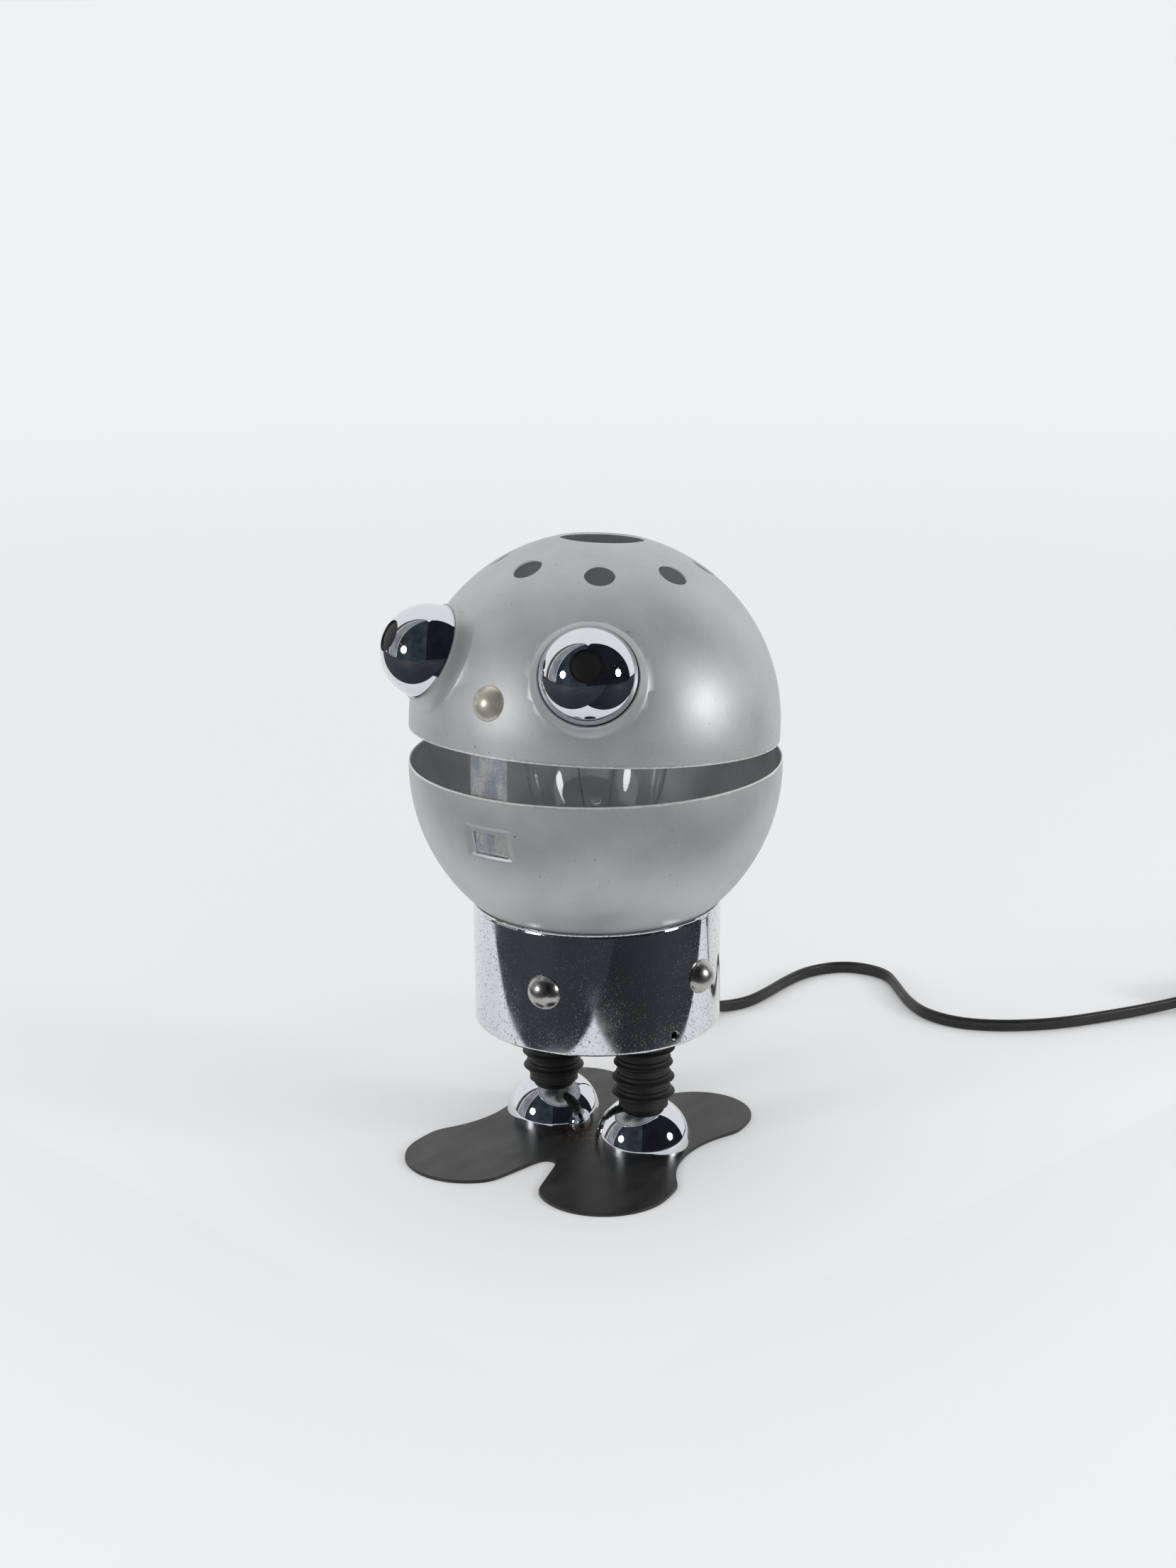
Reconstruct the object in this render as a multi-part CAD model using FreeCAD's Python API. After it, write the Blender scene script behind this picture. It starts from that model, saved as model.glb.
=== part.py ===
import FreeCAD, Part
import math
import os

V = FreeCAD.Vector
X, Y, Z = V(1, 0, 0), V(0, 1, 0), V(0, 0, 1)

# Head shells, pressed from steel sheet
bowl_r = 76.0
bowl_z = 162.0
bowl_wall = 0.8
bowl_rim_above_centre = 2.5
dome_r = 75.2
dome_wall = 0.8
dome_skirt = 5.3
dome_lean = 4.8
dome_y = -0.4
dome_z = 180.4
top_hole_r = 17.3
vent_r = 6.1
vent_count = 8
vent_polar = 32.4
vent_first = 33.4

# Face pieces
eye_r = 19.0
eye_wall = 0.7
eye_side = 31.5
eye_polar = 68.0
eye_seat_rise = 3.0
eye_seat_border = 1.4
pupil_r = 6.5
nose_r = 6.9
nose_h = 3.6
nose_polar = 78.2
rivet_shank_r = 2.0

# Catch strip and the mouth slot that it seats in
strip_w = 17.5
strip_t = 0.5
strip_sweep_r = 153.3
strip_foot_z = 140.5
slot_w = 16.0
slot_top_z = 150.0
slot_foot_z = 140.3
lip_w = 15.0
lip_reach = 2.6

# Rear hinge of the head
hinge_y = 80.2
hinge_z = 167.2
pin_r = 1.2
knuckle_r = 2.4
middle_knuckle = 7.8
hinge_w = 24.0
leaf_t = 0.9
leaf_len = 15.0
hinge_rivet_r = 1.5

# Body drum and its bottom cover
drum_r = 51.0
drum_wall = 0.8
drum_bottom = 53.0
drum_lip = 1.6
cover_t = 1.0
cover_skirt = 8.0
cover_screw_r = 1.5
cover_screw_up = 4.0
empty_hole_r = 2.0
empty_hole_turn = 72.4
cover_screw_turns = (-166.0, -80.0)
stud_r = 6.8
stud_h = 4.8
stud_z = 79.2
stud_turns = (9.5, 90.0, 180.0, 270.0)

# Base plate, feet and legs
plate_t = 1.3
leg_x = 24.1
foot_r = 20.3
foot_h = 19.6
foot_wall = 0.7
leg_turn = -4.2
plate_turn = 4.2
rod_r = 3.0
rod_above_cover = 9.0
bellows_bore = 8.4
bellows_neck = 10.2
bellows_groove = 11.1
bellows_rib = 13.3
bellows_ribs = 5
toe_r = 27.5
toe_x, toe_y = 32.0, -50.0
heel_r = 24.0
heel_x, heel_y = 29.0, 33.0
waist_r = 50.0
waist_half_width = 45.6
waist_y = -2.5
notch_r = 4.2
notch_y = -38.0
notch_spread = 11.5
heel_notch_y = 42.0

# Lampholder and its carrier
bracket_t = 1.5
bracket_w = 20.0
bracket_half = 14.0
bracket_top = 71.5
nipple_r = 5.0
nipple_bore = 3.5
nipple_below = 6.5
nipple_above = 3.8
holder_r = 20.0
holder_wall = 2.6
holder_top = 113.0
holder_cap_h = 12.0
ring_r = 25.0
ring_h = 3.2
core_h = 6.0
screw_shell_r = 14.6
screw_shell_wall = 0.4

# Bulb with a medium screw cap
bulb_r = 30.0
bulb_top = 197.0
bulb_wall = 0.6
bulb_shoulder = 12.0
bulb_waist_r, bulb_waist_z = 22.3, 136.5
neck_r, neck_z = 13.5, 121.0
cap_r = 13.1
cap_wall = 0.4
cap_h = 22.0
contact_z = 90.0
insulator_h = 4.0
contact_h = 2.0
thread_pitch = 3.6
thread_depth = 0.7

# Cord, switch and plug
cord_d = 4.2
exit_z = 61.0
bushing_len = 22.0
bushing_r = 6.0
bushing_tip_r = 3.6
coil_turns = 3.0
coil_in_r = 22.0
coil_pitch = 5.5
coil_low_z = 2.8
coil_drop_turns = 0.25
coil_lead = 31.0
coil_layer = 5.85
switch_len = 52.0
switch_w = 20.0
switch_h = 14.0
switch_axis_z = 4.5
switch_wall = 1.8
rocker_r = 8.0
rocker_w = 8.6
rocker_pin_r = 1.4
rocker_up = 7.4
rocker_tilt = 13.0
plug_len = 30.0
plug_w = 23.0
plug_h = 14.0
blade_len = 16.0
blade_w = 6.3
blade_t = 1.5
blade_gap = 12.7

# Fits
skin = 0.05
run_fit = 0.05

# The cord's route from the bushing to the switch, chosen by hand
cord_route = [
    (0, 73, 61), (-1, 87, 60.5), (-6, 99, 53), (-13, 108, 41.5), (-20, 116, 28.5), (-27, 125, 16),
    (-31.5, 135.5, 6), (-29, 147, 2.8), (-22.5, 158, 2.8), (-21.5, 174, 2.8), (-22, 193, 2.8),
    (-20, 212, 2.8), (-8, 228.5, 2.8), (13, 229.5, 2.8), (27, 215, 2.8), (40, 201, 2.8),
    (55.5, 190, 2.8), (75, 188.5, 2.8), (94.5, 198, 2.8), (112.5, 214, 2.8), (127, 235, 2.8),
    (140, 254.5, 3.1), (152, 272.5, 4.5), (156.5, 279.1, 4.5),
]

bowl_in = bowl_r - bowl_wall
dome_in = dome_r - dome_wall
drum_in = drum_r - drum_wall
drum_top = bowl_z - math.sqrt(bowl_r ** 2 - drum_in ** 2) - skin
cover_z = drum_bottom + drum_wall + skin
cover_top = cover_z + cover_t
bracket_foot = cover_top
dome_centre = V(0, dome_y, dome_z)
switch_start = V(152.0, 272.5, 0)
switch_heading = V(0.561, 0.828, 0).normalize()
bulb_z = bulb_top - bulb_r
cap_z = contact_z + contact_h + insulator_h
holder_z = bracket_top + skin
eye_seat = dome_r + eye_seat_rise


def export(name, *solids):
    """Write one node, a single solid or a group of separate ones."""
    shape = solids[0] if len(solids) == 1 else Part.makeCompound(list(solids))
    for solid in shape.Solids:
        if not solid.isValid():
            print("not valid:", name)
    shape.exportStep("parts/" + name + ".step")


def cyl(r, h, base, axis=Z):
    return Part.makeCylinder(r, h, base, axis)


def tube(r_out, r_in, h, base, axis=Z):
    margin = 1.0
    return cyl(r_out, h, base, axis).cut(cyl(r_in, h + 2 * margin, base - axis * margin, axis))


def ball(r, centre):
    return Part.makeSphere(r, centre)


def box(x0, x1, y0, y1, z0, z1):
    return Part.makeBox(x1 - x0, y1 - y0, z1 - z0, V(x0, y0, z0))


def turned(points):
    """A solid of revolution about Z from (radius, height) corners."""
    corners = [V(r, 0, z) for r, z in points]
    return Part.Face(Part.makePolygon(corners + corners[:1])).revolve(V(0, 0, 0), Z, 360)


def lean(shape):
    """Put a shape modelled on an upright dome at the origin into its resting place."""
    shape = shape.copy()
    shape.rotate(V(0, 0, 0), X, -dome_lean)
    shape.translate(dome_centre)
    return shape


def face_dir(turn, polar):
    """A direction on the dome: turn from the front towards +X, polar from its top."""
    t, p = math.radians(turn), math.radians(polar)
    return V(math.sin(t) * math.sin(p), -math.cos(t) * math.sin(p), math.cos(p))


def leg_spot(sign, z=0.0):
    t = math.radians(leg_turn)
    return V(sign * leg_x * math.cos(t), sign * leg_x * math.sin(t), z)


def drum_dir(turn):
    t = math.radians(turn)
    return V(math.sin(t), -math.cos(t), 0)


def hex_nut(across, bore, h, base):
    r = across / math.sqrt(3)
    corners = [V(r * math.cos(math.radians(60 * k)), r * math.sin(math.radians(60 * k)), 0) for k in range(7)]
    nut = Part.Face(Part.makePolygon(corners)).extrude(V(0, 0, h)).cut(cyl(bore, h + 2, V(0, 0, -1)))
    nut.translate(base)
    return nut


def domed_head(r, h, base, axis):
    """A shallow round head standing on a plane."""
    sphere_r = (r * r + h * h) / (2 * h)
    return ball(sphere_r, base + axis * (h - sphere_r)).common(cyl(r + 1, h + 1, base, axis))


# Base plate, two joined footprints
def lobe(sign):
    """One footprint: toe and heel discs joined by a body with a waisted outer side."""
    waist_x = waist_half_width + waist_r
    span = [
        V(0, toe_y, 0), V(sign * toe_x, toe_y, 0), V(sign * (toe_x + toe_r), toe_y, 0),
        V(sign * (heel_x + heel_r), heel_y, 0), V(sign * heel_x, heel_y, 0), V(0, heel_y, 0),
    ]
    body = Part.Face(Part.makePolygon(span + span[:1])).extrude(V(0, 0, plate_t))
    toe, heel = V(sign * toe_x, toe_y, 0), V(sign * heel_x, heel_y, 0)
    body = body.fuse([cyl(toe_r, plate_t, toe), cyl(heel_r, plate_t, heel)])
    return body.cut(cyl(waist_r, plate_t + 2, V(sign * waist_x, waist_y, -1)))


def notch(root_y, way):
    """A round-rooted notch that widens towards the plate's edge."""
    far = root_y + way * 45.0
    sides = [V(-notch_r, root_y, -1), V(notch_r, root_y, -1), V(notch_spread + notch_r, far, -1),
             V(-notch_spread - notch_r, far, -1)]
    wedge = Part.Face(Part.makePolygon(sides + sides[:1])).extrude(V(0, 0, plate_t + 2))
    return wedge.fuse(cyl(notch_r, plate_t + 2, V(0, root_y, -1)))


def base_plate():
    plate = lobe(1).fuse(lobe(-1)).removeSplitter()
    plate = plate.cut([notch(notch_y - notch_r, -1), notch(heel_notch_y, 1)])
    plate.rotate(V(0, 0, 0), Z, plate_turn)
    for sign in (-1, 1):
        plate = plate.cut(cyl(rod_r + run_fit, plate_t + 2, leg_spot(sign) - Z))
    return plate


# Feet and legs
def foot_sphere():
    """Radius of the foot's ball and the height of its centre."""
    r = (foot_r ** 2 + foot_h ** 2) / (2 * foot_h)
    return r, plate_t + foot_h - r


def foot_dome(sign):
    sphere_r, centre_z = foot_sphere()
    centre = leg_spot(sign, centre_z)
    keep = cyl(foot_r + 1, foot_h + 1, leg_spot(sign, plate_t))
    shell = ball(sphere_r, centre).cut(ball(sphere_r - foot_wall, centre)).common(keep)
    return shell.cut(cyl(bellows_neck + 0.1, foot_h + 5, leg_spot(sign, plate_t)))


def leg_rod(sign):
    return cyl(rod_r, cover_top + rod_above_cover, leg_spot(sign))


def bellows(sign):
    """Rubber bellows: a bored neck with a rib at each pitch, each rib a ruled loft."""
    sphere_r, centre_z = foot_sphere()
    foot = centre_z + math.sqrt(sphere_r ** 2 - bellows_neck ** 2) - foot_wall - 0.3
    top = cover_z - skin
    neck_h = 4.0
    pitch = (top - foot - neck_h) / bellows_ribs
    half = pitch * 0.5
    lip = pitch * 0.16
    body = cyl(bellows_neck, neck_h, leg_spot(sign, foot))
    for k in range(bellows_ribs):
        mid = foot + neck_h + pitch * (k + 0.5)
        rings = [(bellows_groove, -half), (bellows_rib, -lip), (bellows_rib, lip), (bellows_groove, half)]
        wires = [Part.Wire(Part.Circle(leg_spot(sign, mid + dz), Z, r).toShape()) for r, dz in rings]
        body = body.fuse(Part.makeLoft(wires, True, True))
    return body.cut(cyl(bellows_bore, top - foot + 2, leg_spot(sign, foot - 1)))


# Body drum
def body_drum():
    wall = tube(drum_r, drum_in, drum_top - drum_bottom, V(0, 0, drum_bottom))
    lip = tube(drum_in + 0.2, drum_in - drum_lip, drum_wall, V(0, 0, drum_bottom))
    drum = wall.fuse(lip)
    for turn in stud_turns:
        drum = drum.cut(cyl(rivet_shank_r + skin, drum_r, V(0, 0, stud_z) + drum_dir(turn) * 10, drum_dir(turn)))
    for turn in cover_screw_turns:
        hole = V(0, 0, cover_z + cover_screw_up)
        drum = drum.cut(cyl(cover_screw_r + skin, drum_r, hole, drum_dir(turn)))
    empty = V(0, 0, cover_z + cover_screw_up)
    drum = drum.cut(cyl(empty_hole_r, drum_r, empty, drum_dir(empty_hole_turn)))
    return drum.cut(cyl(bushing_tip_r + 0.6, drum_r, V(0, 10, exit_z), Y))


def bottom_cover():
    pan_r = drum_in - skin
    pan = cyl(pan_r, cover_t, V(0, 0, cover_z))
    pan = pan.fuse(tube(pan_r, pan_r - 0.8, cover_skirt, V(0, 0, cover_z)))
    for sign in (-1, 1):
        pan = pan.cut(cyl(rod_r + 0.2, 5, leg_spot(sign, cover_z - 1)))
    for turn in cover_screw_turns:
        hole = V(0, 0, cover_z + cover_screw_up)
        pan = pan.cut(cyl(cover_screw_r + skin, drum_r, hole, drum_dir(turn)))
    empty = V(0, 0, cover_z + cover_screw_up)
    pan = pan.cut(cyl(cover_screw_r, drum_r, empty, drum_dir(empty_hole_turn)))
    gate = bushing_r + 0.5
    return pan.cut(box(-gate, gate, 30, drum_r, cover_top, cover_z + cover_skirt + 1))


def cover_screw(turn):
    out = drum_dir(turn)
    base = V(0, 0, cover_z + cover_screw_up) + out * (drum_r + skin)
    shank = cyl(cover_screw_r, 6.0, base - out * 6.0, out)
    return domed_head(3.0, 1.6, base, out).fuse(shank)


def body_stud(turn):
    out = drum_dir(turn)
    base = V(0, 0, stud_z) + out * (drum_r - 0.45)
    return domed_head(stud_r, stud_h, base + out * 0.5, out).fuse(cyl(rivet_shank_r, 6.0, base - out * 5.4, out))


def stud_clip(turn):
    out = drum_dir(turn)
    return tube(5.0, rivet_shank_r + skin, 0.8, V(0, 0, stud_z) + out * (drum_in - 1.2), out)


# Lampholder and its carrier
def socket_bracket():
    """A bent strap: two feet under the leg nuts, two uprights and a bridge."""
    w = bracket_w / 2
    bridge = box(-bracket_half, bracket_half, -w, w, bracket_top - bracket_t, bracket_top)
    strap = bridge
    for sign in (-1, 1):
        inner, outer = sorted((sign * (bracket_half - bracket_t), sign * bracket_half))
        strap = strap.fuse(box(inner, outer, -w, w, bracket_foot, bracket_top))
        inner, outer = sorted((sign * (bracket_half - bracket_t), sign * (leg_x + 7.0)))
        strap = strap.fuse(box(inner, outer, -w, w, bracket_foot, bracket_foot + bracket_t))
        strap = strap.cut(cyl(rod_r + 0.2, 8, leg_spot(sign, bracket_foot - 1)))
    return strap.cut(cyl(nipple_r + skin, 10, V(0, 0, bracket_top - 5)))


def socket_nipple():
    foot = bracket_top - bracket_t - nipple_below
    return tube(nipple_r, nipple_bore, bracket_t + nipple_below + nipple_above, V(0, 0, foot))


def socket_cap():
    """The lampholder's lower cup, screwed on the nipple."""
    cup = turned([
        (nipple_r + skin, holder_z), (14.0, holder_z), (holder_r - 0.6, holder_z + 5.0),
        (holder_r - 0.6, holder_z + holder_cap_h), (holder_r - 3.0, holder_z + holder_cap_h),
        (holder_r - 3.0, holder_z + 6.0), (12.5, holder_z + 2.4), (8.0, holder_z + 2.4),
        (8.0, holder_z + 3.6), (nipple_r + skin, holder_z + 3.6),
    ])
    return cup


def socket_body():
    """The lampholder's outer shell with a rolled outer thread for the shade rings."""
    foot = holder_z + holder_cap_h + skin
    bore = holder_r - thread_depth - holder_wall
    profile = [(bore, foot), (holder_r - thread_depth, foot)]
    z = foot + 1.0
    while z + 2.0 < holder_top - 6.0:
        profile += [(holder_r - thread_depth, z), (holder_r, z + 0.6), (holder_r, z + 1.2), (holder_r - thread_depth, z + 1.8)]
        z += 2.4
    profile += [(holder_r - thread_depth, holder_top), (bore, holder_top)]
    return turned(profile)


def shade_ring(base_z):
    return tube(ring_r, holder_r + skin, ring_h, V(0, 0, base_z))


def socket_core():
    """Ceramic insert that carries the contacts, with wire and screw holes."""
    base = holder_z + holder_cap_h - core_h
    core = cyl(holder_r - 3.0 - skin, core_h, V(0, 0, base))
    for sign in (-1, 1):
        core = core.cut(cyl(1.3, core_h + 2, V(sign * 11.0, 0, base - 1)))
        core = core.cut(cyl(1.4, core_h + 2, V(sign * 6.5, 6.5, base - 1)))
    return core


def screw_shell():
    base = holder_z + holder_cap_h + skin
    top = cap_z + cap_h - 3.0
    r_in = screw_shell_r - screw_shell_wall
    floor_hole = 9.0
    return turned([
        (floor_hole, base), (screw_shell_r, base), (screw_shell_r, top),
        (r_in, top), (r_in, base + screw_shell_wall), (floor_hole, base + screw_shell_wall),
    ])


def centre_contact():
    """Brass tongue that bends up from the ceramic to the bulb's contact."""
    base = holder_z + holder_cap_h + skin
    top = contact_z - skin
    foot = box(-6.0, 3.0, -2.5, 2.5, base, base + 0.6)
    rise = box(2.4, 3.0, -2.5, 2.5, base, top)
    return foot.fuse([rise, box(-2.5, 3.0, -2.5, 2.5, top - 0.6, top)])


def terminal_screw(sign):
    top = holder_z + holder_cap_h - core_h
    head = cyl(2.4, 1.6, V(sign * 11.0, 0, top - 1.6 - skin))
    return head.fuse(cyl(1.2, core_h - 1.0, V(sign * 11.0, 0, top - skin - 0.1)))


def bow(points):
    """The arc through three points."""
    return Part.Arc(V(*points[0]), V(*points[1]), V(*points[2])).toShape()


def socket_lead(sign):
    """One insulated wire from the nipple to its terminal screw."""
    wire_r = 0.85
    start = V(sign * 1.2, 0, bracket_top + nipple_above - 0.1)
    end_z = holder_z + holder_cap_h - core_h - 1.0
    path = Part.Wire([bow([tuple(start), (sign * 4.2, 0, end_z - 0.1), (sign * 8.0, 0, end_z)])])
    tangent = path.Edges[0].tangentAt(path.Edges[0].FirstParameter)
    ring = Part.Wire(Part.Circle(start, tangent, wire_r).toShape())
    return path.makePipeShell([ring], True, False)


# Head bowl
def slot_cutter():
    return box(-slot_w / 2, slot_w / 2, -bowl_r - 5, -bowl_r + 12, slot_foot_z, slot_top_z)


def head_bowl():
    centre = V(0, 0, bowl_z)
    rim = bowl_z + bowl_rim_above_centre
    keep = cyl(bowl_r + 5, bowl_r + 5 + bowl_rim_above_centre, V(0, 0, rim - bowl_r - 5 - bowl_rim_above_centre))
    bowl = ball(bowl_r, centre).cut(ball(bowl_in, centre)).common(keep)
    bowl = bowl.cut(cyl(holder_r + 0.3, 40, V(0, 0, bowl_z - bowl_r - 10)))
    bowl = bowl.cut(slot_cutter())
    wall_y = -math.sqrt(bowl_in ** 2 - (bowl_z - slot_foot_z) ** 2)
    lip = box(-lip_w / 2, lip_w / 2, wall_y - 0.9, wall_y + lip_reach, slot_foot_z - 0.9, slot_foot_z - 0.1)
    bowl = bowl.fuse(lip.common(ball(bowl_r - 0.1, centre)))
    for sign in (-1, 1):
        bowl = bowl.cut(rivet_hole(sign, -1))
    return bowl


# Rear hinge
def rivet_spot(sign, side):
    """A rivet's place on a hinge leaf: side -1 is the bowl's leaf, 1 the dome's."""
    if side < 0:
        centre = V(0, 0, bowl_z)
        way = V(sign * 7.5, bowl_r, hinge_z - 12.5 - bowl_z)
        return centre, way.normalize(), bowl_r, bowl_wall
    way = V(sign * 6.0, dome_r, hinge_z + 13.0 - dome_z)
    return dome_centre, way.normalize(), dome_r, dome_wall


def rivet_hole(sign, side):
    centre, way, r, wall = rivet_spot(sign, side)
    return cyl(hinge_rivet_r + skin, 8, centre + way * (r - 4), way)


def hinge_rivet(sign, side):
    centre, way, r, wall = rivet_spot(sign, side)
    face = r + skin + leaf_t + skin
    head = domed_head(2.9, 1.3, centre + way * face, way)
    shank = cyl(hinge_rivet_r, leaf_t + wall + 0.5, centre + way * (r - wall - 0.3), way)
    tail = cyl(2.5, 0.8, centre + way * (r - wall - 1.0), way)
    return head.fuse([shank, tail])


def knuckle(x0, x1):
    return cyl(knuckle_r, x1 - x0, V(x0, hinge_y, hinge_z), X)


def pin_hole(fit):
    return cyl(pin_r + fit, hinge_w + 10, V(-hinge_w / 2 - 5, hinge_y, hinge_z), X)


def hinge_leaf_bowl():
    centre = V(0, 0, bowl_z)
    low = hinge_z - 3.6 - leaf_len
    window = box(-hinge_w / 2, hinge_w / 2, 40, hinge_y, low, hinge_z - 4.0)
    leaf = ball(bowl_r + skin + leaf_t, centre).cut(ball(bowl_r + skin, centre)).common(window)
    gap = middle_knuckle / 2 + 0.2
    for sign in (-1, 1):
        x0, x1 = sorted((sign * gap, sign * hinge_w / 2))
        web = box(x0, x1, bowl_r + 0.4, hinge_y - knuckle_r + 0.5, hinge_z - 8.8, hinge_z)
        leaf = leaf.fuse([web, knuckle(x0, x1)])
    leaf = leaf.cut(pin_hole(0.02))
    for sign in (-1, 1):
        leaf = leaf.cut(rivet_hole(sign, -1))
    return leaf


def hinge_leaf_dome():
    half = 9.0
    window = box(-half, half, 40, hinge_y, hinge_z + 4.8, hinge_z + 4.8 + leaf_len)
    leaf = ball(dome_r + skin + leaf_t, dome_centre).cut(ball(dome_r + skin, dome_centre)).common(window)
    k = middle_knuckle / 2
    back = hinge_y - knuckle_r + 0.5
    web = box(-k, k, dome_r - 0.3, back, hinge_z + 4.8, hinge_z + 7.0)
    arm = box(-k, k, back - 1.6, back, hinge_z, hinge_z + 7.0)
    leaf = leaf.fuse([web, arm, knuckle(-k, k)]).cut(pin_hole(run_fit))
    for sign in (-1, 1):
        leaf = leaf.cut(rivet_hole(sign, 1))
    return leaf


def hinge_pin():
    half = hinge_w / 2
    pin = cyl(pin_r, hinge_w + 0.4, V(-half - 0.2, hinge_y, hinge_z), X)
    for sign in (-1, 1):
        pin = pin.fuse(cyl(1.9, 0.9, V(sign * (half + 0.1) - (0.9 if sign < 0 else 0), hinge_y, hinge_z), X))
    return pin


# Dome, upright at the origin, then leaned back to its rest
def eye_axis(sign):
    return face_dir(sign * eye_side, eye_polar)


def eye_tab(sign, turn, grow):
    """A small tab at the eye's edge, which goes through the seat."""
    axis = eye_axis(sign)
    side = axis.cross(Z).normalize()
    up = side.cross(axis).normalize()
    t = math.radians(turn)
    out = side * math.sin(t) + up * math.cos(t)
    across = axis.cross(out)
    tab = Part.makeBox(4.0 + 2 * grow, eye_wall + 2 * grow, 4.2)
    tab.translate(V(-2.0 - grow, -eye_wall / 2 - grow, 0))
    frame = FreeCAD.Matrix(
        across.x, out.x, axis.x, 0, across.y, out.y, axis.y, 0, across.z, out.z, axis.z, 0, 0, 0, 0, 1)
    tab.transformShape(frame)
    tab.translate(axis * (eye_seat - 3.6) + out * (eye_r - eye_wall / 2 - 0.1))
    return tab


def dome_shell():
    seat_r = eye_r + eye_seat_border
    outer = ball(dome_r, V(0, 0, 0)).common(cyl(dome_r + 1, dome_r + 1, V(0, 0, 0)))
    outer = outer.fuse(cyl(dome_r, dome_skirt, V(0, 0, -dome_skirt)))
    inner = ball(dome_in, V(0, 0, 0)).common(cyl(dome_r + 1, dome_r + 1, V(0, 0, 0)))
    inner = inner.fuse(cyl(dome_in, dome_skirt + 1, V(0, 0, -dome_skirt - 1)))
    for sign in (-1, 1):
        axis = eye_axis(sign)
        outer = outer.fuse(cyl(seat_r, 12, axis * (eye_seat - 12), axis))
        inner = inner.fuse(cyl(seat_r - dome_wall, 12, axis * (eye_seat - 12 - dome_wall), axis))
    dome = outer.cut(inner)
    dome = dome.cut(cyl(top_hole_r, dome_r + 5, V(0, 0, 0)))
    for k in range(vent_count):
        way = face_dir(vent_first + 360.0 * k / vent_count, vent_polar)
        dome = dome.cut(cyl(vent_r, 10, way * (dome_r - 6), way))
    nose = face_dir(0, nose_polar)
    dome = dome.cut(cyl(rivet_shank_r + skin, 8, nose * (dome_r - 5), nose))
    for sign in (-1, 1):
        for turn in (0, 120, 240):
            dome = dome.cut(eye_tab(sign, turn, 0.15))
    dome = lean(dome)
    for sign in (-1, 1):
        dome = dome.cut(rivet_hole(sign, 1))
    return dome


def eye(sign):
    """Chromed half ball with a round pupil hole and three fixing tabs."""
    axis = eye_axis(sign)
    base = axis * (eye_seat + skin)
    shell = ball(eye_r, base).cut(ball(eye_r - eye_wall, base)).common(cyl(eye_r + 1, eye_r + 1, base, axis))
    shell = shell.cut(cyl(pupil_r, 30, base, axis))
    for turn in (0, 120, 240):
        shell = shell.fuse(eye_tab(sign, turn, 0.0))
    return lean(shell)


def pupil(sign):
    """Black backing disc that closes the pupil hole from inside."""
    axis = eye_axis(sign)
    base = axis * (eye_seat + skin)
    r = eye_r - eye_wall - skin
    return lean(ball(r, base).cut(ball(r - 0.8, base)).common(cyl(pupil_r + 1.6, 30, base, axis)))


def nose_rivet():
    axis = face_dir(0, nose_polar)
    base = axis * (dome_r - 0.25)
    tail = axis * (strip_seat() - strip_t - 0.9)
    head = domed_head(nose_r, nose_h, axis * dome_r, axis)
    rim = tube(nose_r, rivet_shank_r, 0.5, base, axis).cut(ball(dome_r + 0.02, V(0, 0, 0)))
    shank = cyl(rivet_shank_r, dome_r + 0.3 - (strip_seat() - strip_t - 0.5), tail + axis * 0.4, axis)
    return lean(head.cut(ball(dome_r + 0.02, V(0, 0, 0))).fuse([rim, shank, cyl(3.4, 0.8, tail, axis)]))


def strip_seat():
    """Distance of the strip's outer face from the dome's centre at the nose."""
    sag = dome_in - math.sqrt(dome_in ** 2 - (strip_w / 2) ** 2)
    return dome_in - sag - 0.14


def catch_strip():
    """Spring strip: a flat tab at the nose, then a blade that follows the hinge's sweep."""
    nose = face_dir(0, nose_polar)
    down = V(0, -nose.z, nose.y)
    turn = FreeCAD.Rotation(X, -dome_lean)
    nose, down = turn.multVec(nose), turn.multVec(down)
    seat = dome_centre + nose * strip_seat()
    top = seat - down * 4.5
    bend = seat + down * 3.5

    def swept(z):
        return V(0, hinge_y - math.sqrt(strip_sweep_r ** 2 - (z - hinge_z) ** 2), z)

    knee, low, mid = swept(184.0), swept(strip_foot_z), swept(162.0)
    inward = V(0, strip_t, 0)
    arc_out = Part.Arc(knee, mid, low).toShape()
    arc_in = Part.Arc(low + inward, mid + inward, knee + inward).toShape()
    edges = [
        Part.makeLine(top, bend), Part.makeLine(bend, knee), arc_out, Part.makeLine(low, low + inward),
        arc_in, Part.makeLine(knee + inward, bend + inward), Part.makeLine(bend + inward, top + inward),
        Part.makeLine(top + inward, top),
    ]
    strip = Part.Face(Part.Wire(edges)).extrude(V(strip_w, 0, 0))
    strip.translate(V(-strip_w / 2, 0, 0))
    return strip.cut(cyl(rivet_shank_r + skin, 10, seat - nose * 5, nose))


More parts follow.
